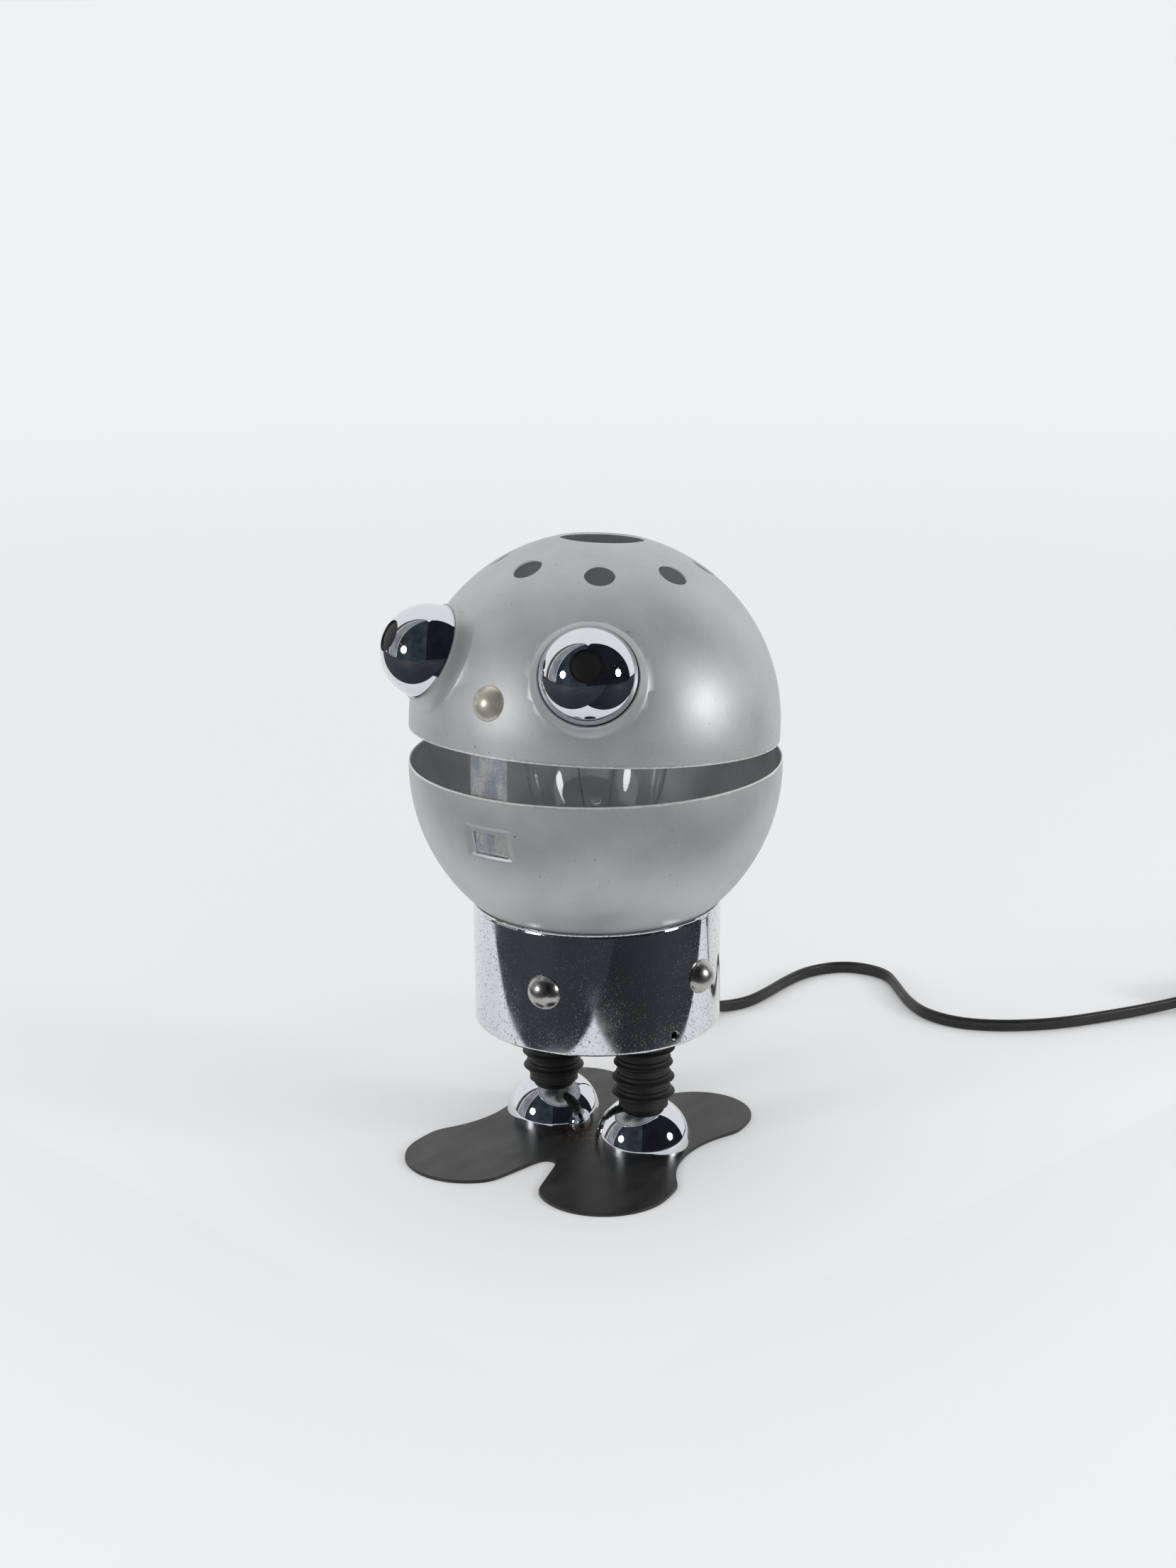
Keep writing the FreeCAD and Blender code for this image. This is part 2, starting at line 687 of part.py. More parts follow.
# Bulb
def envelope(offset, foot):
    """Solid inside the bulb's outline, moved inwards by an offset: ball, flank, throat and neck."""
    r = bulb_r - offset
    a = math.radians(bulb_shoulder)
    b = math.radians((90 - bulb_shoulder) / 2)
    top = V(0, 0, bulb_z + r)
    crown = V(r * math.cos(b), 0, bulb_z + r * math.sin(b))
    shoulder = V(r * math.cos(a), 0, bulb_z - r * math.sin(a))
    waist = V(bulb_waist_r - offset, 0, bulb_waist_z)
    flank = (shoulder + waist) * 0.5 + V(1.1, 0, 0)
    neck = V(neck_r - offset, 0, neck_z)
    throat = (waist + neck) * 0.5 + V(-1.1, 0, 0)
    edges = [
        Part.Arc(top, crown, shoulder).toShape(), Part.Arc(shoulder, flank, waist).toShape(),
        Part.Arc(waist, throat, neck).toShape(), Part.makeLine(neck, V(neck.x, 0, foot)),
        Part.makeLine(V(neck.x, 0, foot), V(0, 0, foot)), Part.makeLine(V(0, 0, foot), top),
    ]
    return Part.Face(Part.Wire(edges)).revolve(V(0, 0, 0), Z, 360)


def bulb_glass():
    foot = cap_z + cap_h + skin
    return envelope(0, foot).cut(envelope(bulb_wall, foot - 1))


def bulb_cap():
    """Screw cap, open at both ends, with rolled threads."""
    profile = [(cap_r - thread_depth, cap_z)]
    z = cap_z + 0.6
    while z + thread_pitch < cap_z + cap_h - 3.0:
        profile += [(cap_r - thread_depth, z), (cap_r, z + 0.9), (cap_r, z + 1.8), (cap_r - thread_depth, z + 2.7)]
        z += thread_pitch
    profile += [(cap_r, cap_z + cap_h - 2.0), (cap_r, cap_z + cap_h)]
    bore = cap_r - thread_depth - cap_wall
    profile += [(bore, cap_z + cap_h), (bore, cap_z)]
    return turned(profile)


def bulb_insulator():
    r = cap_r - thread_depth
    z = contact_z + contact_h
    return turned([(3.2, z), (5.0, z), (r, cap_z - skin), (3.2, cap_z - skin)])


def bulb_contact():
    z = contact_z
    return cyl(5.0, contact_h - skin, V(0, 0, z)).fuse(cyl(3.0, insulator_h, V(0, 0, z + contact_h - 0.2)))


def bulb_stem():
    """Glass flare and rod inside the bulb."""
    foot = cap_z + cap_h - 6.0
    return turned([
        (0, foot), (11.6, foot), (11.6, foot + 1.2), (4.2, foot + 12.0), (3.0, foot + 20.0),
        (1.3, foot + 24.0), (1.3, foot + 42.0), (2.2, foot + 43.5), (0, foot + 45.5),
    ])


def bulb_support(sign):
    foot = cap_z + cap_h + 12.0
    start, end = V(sign * 4.0, 0, foot), V(sign * 10.0, 0, foot + 36.0)
    way = (end - start)
    return cyl(0.35, way.Length, start, way.normalize())


def bulb_filament():
    """Fine coiled wire as one shallow bow between the lead-in wires."""
    z = cap_z + cap_h + 48.55
    path = Part.Wire([bow([(-10.0, 0, z), (0, 3.5, z + 1.5), (10.0, 0, z)])])
    tangent = path.Edges[0].tangentAt(path.Edges[0].FirstParameter)
    return path.makePipeShell([Part.Wire(Part.Circle(V(-10.0, 0, z), tangent, 0.35).toShape())], True, False)


# Cord
def route_wire(points, least):
    """Straight runs joined by tangent arcs, with the least radius printed."""
    pts = [V(*p) for p in points]
    edges, radii, here = [], [], pts[0]
    for before, corner, after in zip(pts, pts[1:], pts[2:]):
        into, out = (corner - before), (after - corner)
        run = min(into.Length, out.Length)
        u, w = V(into).normalize(), V(out).normalize()
        turn = math.acos(max(-1.0, min(1.0, u.dot(w))))
        back = 0.45 * run
        radius = back / math.tan(turn / 2)
        radii.append(radius)
        start, end = corner - u * back, corner + w * back
        middle = corner + (w - u).normalize() * (radius / math.cos(turn / 2) - radius)
        edges.append(Part.LineSegment(here, start).toShape())
        edges.append(Part.Arc(start, middle, end).toShape())
        here = end
    edges.append(Part.LineSegment(here, pts[-1]).toShape())
    print("cord radii mm:", [round(r) for r in radii], "least wanted", least)
    return Part.Wire(edges)


def swept_tube(wire, name):
    first = wire.Edges[0]
    start = first.valueAt(first.FirstParameter)
    tangent = first.tangentAt(first.FirstParameter)
    ring = Part.Wire(Part.Circle(start, tangent, cord_d / 2).toShape())
    solid = wire.makePipeShell([ring], True, False)
    wanted = math.pi * (cord_d / 2) ** 2 * wire.Length
    print(name, "length mm", round(wire.Length, 1), "volume share", round(solid.Volume / wanted, 4))
    return solid


def biarc(p0, t0, p1, t1):
    """Two tangent arcs from one point and heading to another."""
    v, t = p1 - p0, t0 + t1
    a, b, c = 2 * (t0.dot(t1) - 1), -2 * v.dot(t), v.dot(v)
    if abs(a) < 1e-9:
        d = c / -b
    else:
        d = (-b - math.sqrt(b * b - 4 * a * c)) / (2 * a)
    d = abs(d)
    q0, q1 = p0 + t0 * d, p1 - t1 * d
    joint = (q0 + q1) * 0.5

    def arc(start, corner, end):
        u, w = V(start - corner).normalize(), V(end - corner).normalize()
        half = math.acos(max(-1.0, min(1.0, u.dot(w)))) / 2
        leg = (start - corner).Length
        radius = leg * math.tan(half)
        middle = corner + (u + w).normalize() * (radius / math.sin(half) - radius)
        return Part.Arc(start, middle, end).toShape()

    return [arc(p0, q0, joint), arc(joint, q1, p1)]


def coil_frame():
    """The coil's centre and the turn at which it starts, beside the switch's end."""
    end = switch_start + switch_heading * (switch_len + coil_lead)
    outer_r = coil_in_r + coil_pitch * coil_turns
    right = V(switch_heading.y, -switch_heading.x, 0)
    centre = end + right * outer_r
    start = math.atan2(-right.y, -right.x)
    return centre, start, outer_r


def coil_point(turns):
    """Centreline point after a number of turns: in, a half turn up, and out again."""
    centre, start, outer_r = coil_frame()
    climb = 0.5
    if turns <= coil_turns:
        left = max(0.0, 1 - turns / coil_drop_turns)
        r, z = outer_r - coil_pitch * turns, coil_low_z + (switch_axis_z - coil_low_z) * left ** 2 * (3 - 2 * left)
    elif turns <= coil_turns + climb:
        share = (turns - coil_turns) / climb
        r = coil_in_r
        z = coil_low_z + coil_layer * (share - math.sin(2 * math.pi * share) / (2 * math.pi))
    else:
        r, z = coil_in_r + coil_pitch * (turns - coil_turns - climb), coil_low_z + coil_layer
    a = start - 2 * math.pi * turns
    return centre + V(r * math.cos(a), r * math.sin(a), z)


def coil_wire():
    total = 2 * coil_turns + 0.5
    steps = int(round(total * 4))
    stations = [total * k / steps for k in range(steps + 1)]
    small = 1e-4
    points = [coil_point(t) for t in stations]
    ways = [(coil_point(t + small) - coil_point(t - small)).normalize() for t in stations]
    ways[0] = V(ways[0].x, ways[0].y, 0).normalize()
    ways[-1] = V(ways[-1].x, ways[-1].y, 0).normalize()
    edges = [Part.LineSegment(points[0] - ways[0] * coil_lead, points[0]).toShape()]
    for p0, t0, p1, t1 in zip(points, ways, points[1:], ways[1:]):
        edges += biarc(p0, t0, p1, t1)
    edges.append(Part.LineSegment(points[-1], points[-1] + ways[-1] * cord_d).toShape())
    return Part.Wire(edges), points[-1] + ways[-1] * cord_d, ways[-1]


def coil_gap(wire):
    """Least gap between turns, from points along the line."""
    points = wire.discretize(Distance=2.0)
    skip = int(math.pi * coil_in_r / 2.0)
    least = min((p - q).Length for i, p in enumerate(points) for q in points[i + skip:])
    print("coil least gap mm", round(least - cord_d, 2))


def cord_inside():
    """The lead from the bushing's tip through the drum and up into the nipple."""
    nipple_mouth = bracket_top + nipple_above - 1.0
    return [(0, drum_r + bushing_len, exit_z), (0, 44, exit_z), (0, 24, 59.8), (0, 0, 60.5), (0, 0, nipple_mouth)]


def cord_bushing():
    """Tapered rubber bushing with a groove that holds it in the drum wall."""
    bore = cord_d / 2 + skin
    wall_in, wall_out = drum_in - 0.1, drum_r + 0.1
    throat = bushing_tip_r + 0.5
    tip = drum_r + bushing_len
    profile = [
        (bore, wall_in - 2.0), (bushing_r, wall_in - 1.2), (bushing_r, wall_in - 0.35), (throat, wall_in - 0.35),
        (throat, wall_out + 0.25), (bushing_r, wall_out + 0.25), (bushing_r, wall_out + 1.4),
        (bushing_tip_r + 1.2, wall_out + 2.2), (bushing_tip_r, tip), (bore, tip),
    ]
    solid = turned(profile)
    solid.rotate(V(0, 0, 0), X, -90)
    solid.translate(V(0, 0, exit_z))
    return solid


# Cord switch, modelled along +X from its cord entry, then turned into the route
def place_switch(shape):
    shape = shape.copy()
    shape.rotate(V(0, 0, 0), Z, math.degrees(math.atan2(switch_heading.y, switch_heading.x)))
    shape.translate(switch_start)
    return shape


def switch_hull(inset):
    """The closed outline of the switch, moved inwards by an inset."""
    r = switch_w / 2 - inset
    z0, z1 = inset, switch_h - inset
    body = box(switch_w / 2, switch_len - switch_w / 2, -r, r, z0, z1)
    for x in (switch_w / 2, switch_len - switch_w / 2):
        body = body.fuse(cyl(r, z1 - z0, V(x, 0, z0)))
    return body.removeSplitter()


def rocker_centre():
    return V(switch_len / 2, 0, rocker_up)


def switch_shells():
    hull = switch_hull(0).cut(switch_hull(switch_wall))
    for start in (-1.0, switch_len - 7.0):
        hull = hull.cut(cyl(cord_d / 2 + skin, 8.0, V(start, 0, switch_axis_z), X))
    lower = hull.common(box(-1, switch_len + 1, -20, 20, -1, switch_axis_z - 0.02))
    upper = hull.common(box(-1, switch_len + 1, -20, 20, switch_axis_z + 0.02, switch_h + 1))
    c = rocker_centre()
    reach = rocker_r + 0.35
    upper = upper.cut(cyl(reach, rocker_w + 0.6, c - Y * (rocker_w / 2 + 0.3), Y))
    for sign in (-1, 1):
        inner = sign * (rocker_w / 2 + 0.3)
        outer = sign * (switch_w / 2 - switch_wall + 0.2)
        y0, y1 = sorted((inner, outer))
        ear = box(c.x - 3.5, c.x + 3.5, y0, y1, switch_axis_z + 0.02, switch_h - switch_wall + 0.2)
        upper = upper.fuse(ear)
    upper = upper.cut(cyl(rocker_pin_r + run_fit, switch_w - 2 * switch_wall, c - Y * (switch_w / 2 - switch_wall), Y))
    for x in (switch_w / 2, switch_len - switch_w / 2):
        post = cyl(3.0, switch_h - 2 * switch_wall + 0.4, V(x, 6.0 if x < 20 else -6.0, switch_wall - 0.2))
        lower = lower.fuse(post.common(box(-1, 99, -20, 20, 0, switch_axis_z - 0.02)))
        upper = upper.fuse(post.common(box(-1, 99, -20, 20, switch_axis_z + 0.02, switch_h)))
    for start in switch_screw_spots():
        lower = lower.cut(cyl(1.25 + skin, switch_h, start - Z)).cut(cyl(2.4 + skin, 1.7, start - Z * 0.1))
        upper = upper.cut(cyl(1.25 + skin, 9.0 - switch_axis_z, start + Z * switch_axis_z))
    return place_switch(lower), place_switch(upper)


def switch_screw_spots():
    return [V(switch_w / 2, 6.0, 0), V(switch_len - switch_w / 2, -6.0, 0)]


def switch_screw(spot):
    return place_switch(cyl(2.4, 1.3, spot + Z * 0.2).fuse(cyl(1.25, 7.0, spot + Z * 1.4)))


def switch_rocker():
    """Saddle-shaped rocker, resting tipped to one side."""
    c = rocker_centre()
    body = cyl(rocker_r, rocker_w, c - Y * rocker_w / 2, Y)
    low = body.common(box(c.x - 20, c.x + 20, -20, 20, c.z - 2.4, c.z + 20))
    saddle = cyl(14.0, rocker_w + 2, c + V(0, -rocker_w / 2 - 1, 18.6), Y)
    rocker = low.cut(saddle)
    rocker = rocker.fuse(cyl(rocker_pin_r, rocker_w + 7.0, c - Y * (rocker_w / 2 + 3.5), Y))
    rocker.rotate(c, Y, rocker_tilt)
    return place_switch(rocker)


def tail_route():
    """Short lead from the coil's last turn to the plug."""
    _, end, way = coil_wire()
    side = V(way.y, -way.x, 0)
    drop = end.z - plug_h / 2
    a = end
    b = end + way * 12 - Z * drop * 0.4
    c = b + way * 11 + side * -4 - Z * drop * 0.4
    d = c + way * 12 + side * -6 - Z * drop * 0.2
    return [tuple(p) for p in (a, b, c, d)], d, V(d.x - c.x, d.y - c.y, 0).normalize()


def plug_parts():
    """Flat plug with two blades, its cord end at the tail's end."""
    _, end, way = tail_route()
    half = plug_w / 2
    points = [V(0, -3.6, 0), V(0, 3.6, 0), V(8, half - 3, 0), V(plug_len, half, 0), V(plug_len, -half, 0), V(8, 3 - half, 0)]
    body = Part.Face(Part.makePolygon(points + points[:1])).extrude(V(0, 0, plug_h))
    body = body.makeFillet(1.5, [e for e in body.Edges if e.BoundBox.ZLength < 0.1])
    slots = [box(plug_len - 9, plug_len + 1, s * blade_gap / 2 - blade_t / 2 - skin, s * blade_gap / 2 + blade_t / 2 + skin,
                 plug_h / 2 - blade_w / 2 - skin, plug_h / 2 + blade_w / 2 + skin) for s in (-1, 1)]
    body = body.cut(slots[0]).cut(slots[1])
    blades = []
    for s in (-1, 1):
        y = s * blade_gap / 2
        blade = box(plug_len - 8.5, plug_len + blade_len, y - blade_t / 2, y + blade_t / 2,
                    plug_h / 2 - blade_w / 2, plug_h / 2 + blade_w / 2)
        blades.append(blade.cut(cyl(1.5, 5, V(plug_len + blade_len - 3.5, y - 2.5, plug_h / 2), Y)))
    placed = []
    for shape in [body] + blades:
        shape.translate(V(0, 0, end.z - plug_h / 2))
        shape.rotate(V(0, 0, 0), Z, math.degrees(math.atan2(way.y, way.x)))
        shape.translate(V(end.x, end.y, 0))
        placed.append(shape)
    return placed


def build_stand():
    export("base_plate", base_plate())
    for side, sign in (("left", 1), ("right", -1)):
        export("foot_dome_" + side, foot_dome(sign))
        export("leg_rod_" + side, leg_rod(sign))
        export("leg_bellows_" + side, bellows(sign))
    nut_z = bracket_foot + bracket_t + skin
    export("leg_nuts", *[hex_nut(10.0, rod_r + skin, 4.8, leg_spot(sign, nut_z)) for sign in (-1, 1)])
    export("body_drum", body_drum())
    export("bottom_cover", bottom_cover())
    export("cover_screws", *[cover_screw(turn) for turn in cover_screw_turns])
    export("body_studs", *[body_stud(turn) for turn in stud_turns])
    export("stud_clips", *[stud_clip(turn) for turn in stud_turns])


def build_holder():
    export("socket_bracket", socket_bracket())
    export("socket_nipple", socket_nipple())
    export("nipple_nut", hex_nut(14.0, nipple_r + skin, 3.0, V(0, 0, bracket_top - bracket_t - 3.0 - skin)))
    export("socket_cap", socket_cap())
    export("socket_core", socket_core())
    export("socket_body", socket_body())
    export("screw_shell", screw_shell())
    export("centre_contact", centre_contact())
    export("terminal_screws", terminal_screw(-1), terminal_screw(1))
    export("socket_leads", socket_lead(-1), socket_lead(1))
    under = bowl_z - math.sqrt(bowl_r ** 2 - (holder_r + 0.3) ** 2)
    over = bowl_z - math.sqrt(bowl_in ** 2 - ring_r ** 2)
    export("shade_ring_lower", shade_ring(under - ring_h - skin))
    export("shade_ring_upper", shade_ring(over + skin))


def build_head():
    export("head_bowl", head_bowl())
    export("hinge_leaf_bowl", hinge_leaf_bowl())
    export("hinge_pin", hinge_pin())
    export("hinge_rivets_bowl", hinge_rivet(-1, -1), hinge_rivet(1, -1))
    export("dome_shell", dome_shell())
    export("hinge_leaf_dome", hinge_leaf_dome())
    export("hinge_rivets_dome", hinge_rivet(-1, 1), hinge_rivet(1, 1))
    export("catch_strip", catch_strip())
    export("nose_rivet", nose_rivet())
    export("eye_left", eye(1))
    export("eye_right", eye(-1))
    export("eye_pupils", pupil(-1), pupil(1))


def build_bulb():
    export("bulb_glass", bulb_glass())
    export("bulb_cap", bulb_cap())
    export("bulb_insulator", bulb_insulator())
    export("bulb_contact", bulb_contact())
    export("bulb_stem", bulb_stem())
    export("bulb_supports", bulb_support(-1), bulb_support(1))
    export("bulb_filament", bulb_filament())


def build_cord():
    export("cord_bushing", cord_bushing())
    export("cord_inside", swept_tube(route_wire(cord_inside(), 8), "cord inside"))
    export("cord_run", swept_tube(route_wire(cord_route, 17), "cord run"))
    wire, _, _ = coil_wire()
    coil_gap(wire)
    export("cord_coil", swept_tube(wire, "cord coil"))
    points, _, _ = tail_route()
    export("cord_tail", swept_tube(route_wire(points, 17), "cord tail"))
    lower, upper = switch_shells()
    export("switch_base", lower)
    export("switch_cover", upper)
    export("switch_rocker", switch_rocker())
    export("switch_screws", *[switch_screw(spot) for spot in switch_screw_spots()])
    body, blade_a, blade_b = plug_parts()
    export("plug_body", body)
    export("plug_blades", blade_a, blade_b)


os.makedirs("parts", exist_ok=True)
build_stand()
build_holder()
build_head()
build_bulb()
build_cord()
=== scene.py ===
import math
from functools import partial

import bmesh
import bpy
from bpy.props import FloatProperty, FloatVectorProperty, IntProperty, PointerProperty
from mathutils import Matrix, Vector


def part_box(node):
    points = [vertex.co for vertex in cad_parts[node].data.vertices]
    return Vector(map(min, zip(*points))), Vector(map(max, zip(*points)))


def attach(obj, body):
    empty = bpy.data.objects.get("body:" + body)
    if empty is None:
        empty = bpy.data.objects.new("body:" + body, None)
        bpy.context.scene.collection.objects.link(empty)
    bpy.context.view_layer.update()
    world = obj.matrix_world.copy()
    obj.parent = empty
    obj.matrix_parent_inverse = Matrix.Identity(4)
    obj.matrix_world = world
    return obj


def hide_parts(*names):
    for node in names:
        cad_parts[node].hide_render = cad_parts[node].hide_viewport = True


bl_info = {
    "name": "Robot Desk Lamp",
    "version": (1, 0, 0),
    "blender": (4, 5, 0),
    "location": "View3D > Sidebar > Lamp",
    "description": "Builds the looks of a robot shaped desk lamp round its construction model",
    "category": "Object",
}

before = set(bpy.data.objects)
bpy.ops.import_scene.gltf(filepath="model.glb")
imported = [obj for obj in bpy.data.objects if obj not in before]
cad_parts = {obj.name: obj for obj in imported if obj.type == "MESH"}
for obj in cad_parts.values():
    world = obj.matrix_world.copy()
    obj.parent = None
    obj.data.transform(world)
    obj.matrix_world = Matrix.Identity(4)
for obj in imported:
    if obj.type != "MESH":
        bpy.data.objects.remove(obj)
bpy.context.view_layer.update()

MM = 0.001
TURN = math.radians(360)
FRONT_VIEW = math.radians(34.5)

# Middles of the two balls that the head's shells are cut from, the dome's in its resting place
BOWL_CENTRE = Vector((0, 0, 0.162))
DOME_CENTRE = Vector((0, -0.0004, 0.1804))

PLATE_THICK = 0.0013
WALL = 0.0007

NOISE, MAPPING, BUMP = "ShaderNodeTexNoise", "ShaderNodeMapping", "ShaderNodeBump"
RANGE, MIX = "ShaderNodeMapRange", "ShaderNodeMix"
MATH, VECTOR_MATH = "ShaderNodeMath", "ShaderNodeVectorMath"

# The cord's route from the bushing to the switch, in mm, as the construction has it
CORD_ROUTE = [
    (0, 73, 61), (-1, 87, 60.5), (-6, 99, 53), (-13, 108, 41.5), (-20, 116, 28.5), (-27, 125, 16),
    (-31.5, 135.5, 6), (-29, 147, 2.8), (-22.5, 158, 2.8), (-21.5, 174, 2.8), (-22, 193, 2.8),
    (-20, 212, 2.8), (-8, 228.5, 2.8), (13, 229.5, 2.8), (27, 215, 2.8), (40, 201, 2.8),
    (55.5, 190, 2.8), (75, 188.5, 2.8), (94.5, 198, 2.8), (112.5, 214, 2.8), (127, 235, 2.8),
    (140, 254.5, 3.1), (152, 272.5, 4.5), (156.5, 279.1, 4.5),
]


class LampSizes(bpy.types.PropertyGroup):
    """Sizes of the lamp's own shapes"""

    bowl_radius: FloatProperty(
        name="Bowl radius", description="Outside radius of the lower head bowl", default=0.076,
        unit="LENGTH")
    dome_radius: FloatProperty(
        name="Dome radius", description="Outside radius of the upper head dome", default=0.0752,
        unit="LENGTH")
    sheet: FloatProperty(
        name="Sheet", description="Thickness of the pressed steel shells", default=0.0008, unit="LENGTH")
    dome_lean: FloatProperty(
        name="Dome lean", description="How far the dome rests leaned back", default=math.radians(4.8),
        subtype="ANGLE")
    eye_radius: FloatProperty(
        name="Eye radius", description="Radius of the chromed half balls", default=0.019, unit="LENGTH")
    eye_side: FloatProperty(
        name="Eye side", description="Turn of each eye from the front", default=math.radians(31.5),
        subtype="ANGLE")
    eye_polar: FloatProperty(
        name="Eye polar", description="Angle of each eye from the dome's top", default=math.radians(68.0),
        subtype="ANGLE")
    eye_seat: FloatProperty(
        name="Eye seat", description="Distance of the eye's seat from the dome's centre", default=0.0782,
        unit="LENGTH")
    drum_radius: FloatProperty(
        name="Drum radius", description="Outside radius of the body drum", default=0.051, unit="LENGTH")
    vents: IntProperty(
        name="Vents", description="Number of round vents in the dome", default=8, min=1, max=24)
    cord_width: FloatProperty(
        name="Cord width", description="Width of the flat twin cord", default=0.0055, unit="LENGTH")
    cord_height: FloatProperty(
        name="Cord thickness", description="Thickness of the flat twin cord", default=0.0028, unit="LENGTH")


class LampColours(bpy.types.PropertyGroup):
    """Light and colour that a user would change"""

    floor: FloatVectorProperty(
        name="Floor", description="Colour of the floor", default=(0.87, 0.872, 0.875), size=3,
        subtype="COLOR")
    sky_light: FloatProperty(
        name="Sky", description="Strength of the soft light all round", default=1.12, min=0.0)
    key_light: FloatProperty(
        name="Key", description="Power of the two round lamps in watts", default=3.4, min=0.0)


def sizes():
    """The lamp's sizes as the panel's user has set them."""
    return bpy.context.scene.lamp_sizes


def linear(code):
    """A linear colour from an sRGB hex value."""
    parts = [int(code[k:k + 2], 16) / 255 for k in (0, 2, 4)]
    return [c / 12.92 if c <= 0.04045 else ((c + 0.055) / 1.055) ** 2.4 for c in parts] + [1.0]


def wire(node, settings, links):
    """Set a node's properties and inputs, and link each source, a node or a node and its output."""
    for key, value in settings.items():
        if isinstance(key, int) or key in node.inputs:
            node.inputs[key].default_value = value
        else:
            setattr(node, key, value)
    for key, source in links.items():
        giver, output = source if isinstance(source, tuple) else (source, 0)
        node.id_data.links.new(giver.outputs[output], node.inputs[key])


def add_node(tree, kind, settings=None, links=None):
    """Add one node with its settings and its incoming links."""
    made = tree.nodes.new(kind)
    wire(made, settings or {}, links or {})
    return made


def new_material(name):
    """An empty material, what adds a node to it, its shader and its Object coordinates."""
    material = bpy.data.materials.new(name)
    material.use_nodes = True
    material.node_tree.nodes.clear()
    add = partial(add_node, material.node_tree)
    shader = add("ShaderNodeBsdfPrincipled")
    add("ShaderNodeOutputMaterial", links={"Surface": (shader, "BSDF")})
    where = (add("ShaderNodeTexCoord"), "Object")
    return material, add, shader, where


def across(size_mm):
    """The noise scale whose features are about size_mm across."""
    return 1000.0 / size_mm


def silver_lacquer(name, axis, level):
    """Sprayed aluminium lacquer on pressed steel: a soft sheen with fine grain, specks, rust at the rim and
    a painted highlight line along the rim.
    """
    material, add, shader, where = new_material(name)
    place = {"Vector": where}
    fine = add(NOISE, {"Scale": across(0.5), "Detail": 2.0}, place)
    cloud = add(NOISE, {"Scale": across(28.0), "Detail": 4.0}, place)
    speck = add(NOISE, {"Scale": across(1.6), "Detail": 2.0}, place)
    mottle = add(RANGE, {"From Min": 0.35, "From Max": 0.65}, {"Value": cloud})
    tint = add(MIX, {"data_type": "RGBA", 6: linear("B6B8B8"), 7: linear("C6C8C8")}, {0: mottle})
    flake = add(RANGE, {"From Min": 0.3, "From Max": 0.7, "To Max": 0.35}, {"Value": fine})
    tint = add(MIX, {"data_type": "RGBA", 7: linear("A2A5A7")}, {0: flake, 6: (tint, 2)})
    dots = add(RANGE, {"From Min": 0.745, "From Max": 0.77}, {"Value": speck})
    tint = add(MIX, {"data_type": "RGBA", 7: linear("4B4540")}, {0: dots, 6: (tint, 2)})
    height = add(VECTOR_MATH, {"operation": "DOT_PRODUCT", 1: axis}, {0: where})
    ragged = add(MATH, {"operation": "MULTIPLY_ADD", 1: 0.0012}, {0: speck, 2: (height, "Value")})
    rust_edge = add(RANGE, {"From Min": level + 0.0023, "From Max": level + 0.0006}, {"Value": ragged})
    # Painted highlight: a bright line within about a millimetre of the rim's edge
    painted_rim_highlight = add(RANGE, {"From Min": level + 0.0015, "From Max": level + 0.0011}, {"Value": ragged})
    blotch = add(RANGE, {"From Min": 0.45, "From Max": 0.62, "To Max": 0.7}, {"Value": cloud})
    rusty = add(MIX, {"data_type": "RGBA", 7: linear("6F5B4B")}, {0: blotch, 6: (tint, 2)})
    tint = add(MIX, {"data_type": "RGBA"}, {0: rust_edge, 6: (tint, 2), 7: (rusty, 2)})
    # Lays the painted rim highlight over the lacquer
    tint = add(MIX, {"data_type": "RGBA", 7: linear("E2E2E0")}, {0: painted_rim_highlight, 6: (tint, 2)})
    rough = add(RANGE, {"From Min": 0.3, "From Max": 0.7, "To Min": 0.44, "To Max": 0.51}, {"Value": cloud})
    relief = add(BUMP, {"Distance": 0.012 * MM}, {"Height": fine})
    wire(shader, {"Metallic": 0.62}, {"Base Color": (tint, 2), "Roughness": rough, "Normal": relief})
    return material


def polished_chrome(name, pit_share=0.0, haze=0.05):
    """Chrome plate on steel: a mirror with fine hairline scratches, dust and, where it is old, pits."""
    material, add, shader, where = new_material(name)
    place = {"Vector": where}
    drawn = add(MAPPING, {"Scale": (1, 1, 0.12)}, place)
    hair = add(NOISE, {"Scale": across(1.1), "Detail": 4.0}, {"Vector": drawn})
    cloud = add(NOISE, {"Scale": across(16.0), "Detail": 3.0}, place)
    pits = add(NOISE, {"Scale": across(0.75), "Detail": 3.0}, place)
    low = 0.70 - pit_share * 0.14
    mask = add(RANGE, {"From Min": low, "From Max": low + 0.06}, {"Value": pits})
    tint = add(MIX, {"data_type": "RGBA", 6: linear("E1E4E7"), 7: linear("8A817A")}, {0: mask})
    dust = add(RANGE, {"From Min": 0.35, "From Max": 0.75}, {"Value": cloud})
    veil = add(MATH, {"operation": "MULTIPLY", 1: haze * 2.2}, {0: dust})
    lines = add(MATH, {"operation": "MULTIPLY_ADD", 1: haze}, {0: hair, 2: veil})
    rough = add(MATH, {"operation": "MULTIPLY_ADD", 1: 0.35}, {0: mask, 2: lines})
    relief = add(BUMP, {"Distance": 0.004 * MM, "Strength": 0.5}, {"Height": pits})
    wire(shader, {"Metallic": 1.0}, {"Base Color": (tint, 2), "Roughness": rough, "Normal": relief})
    return material


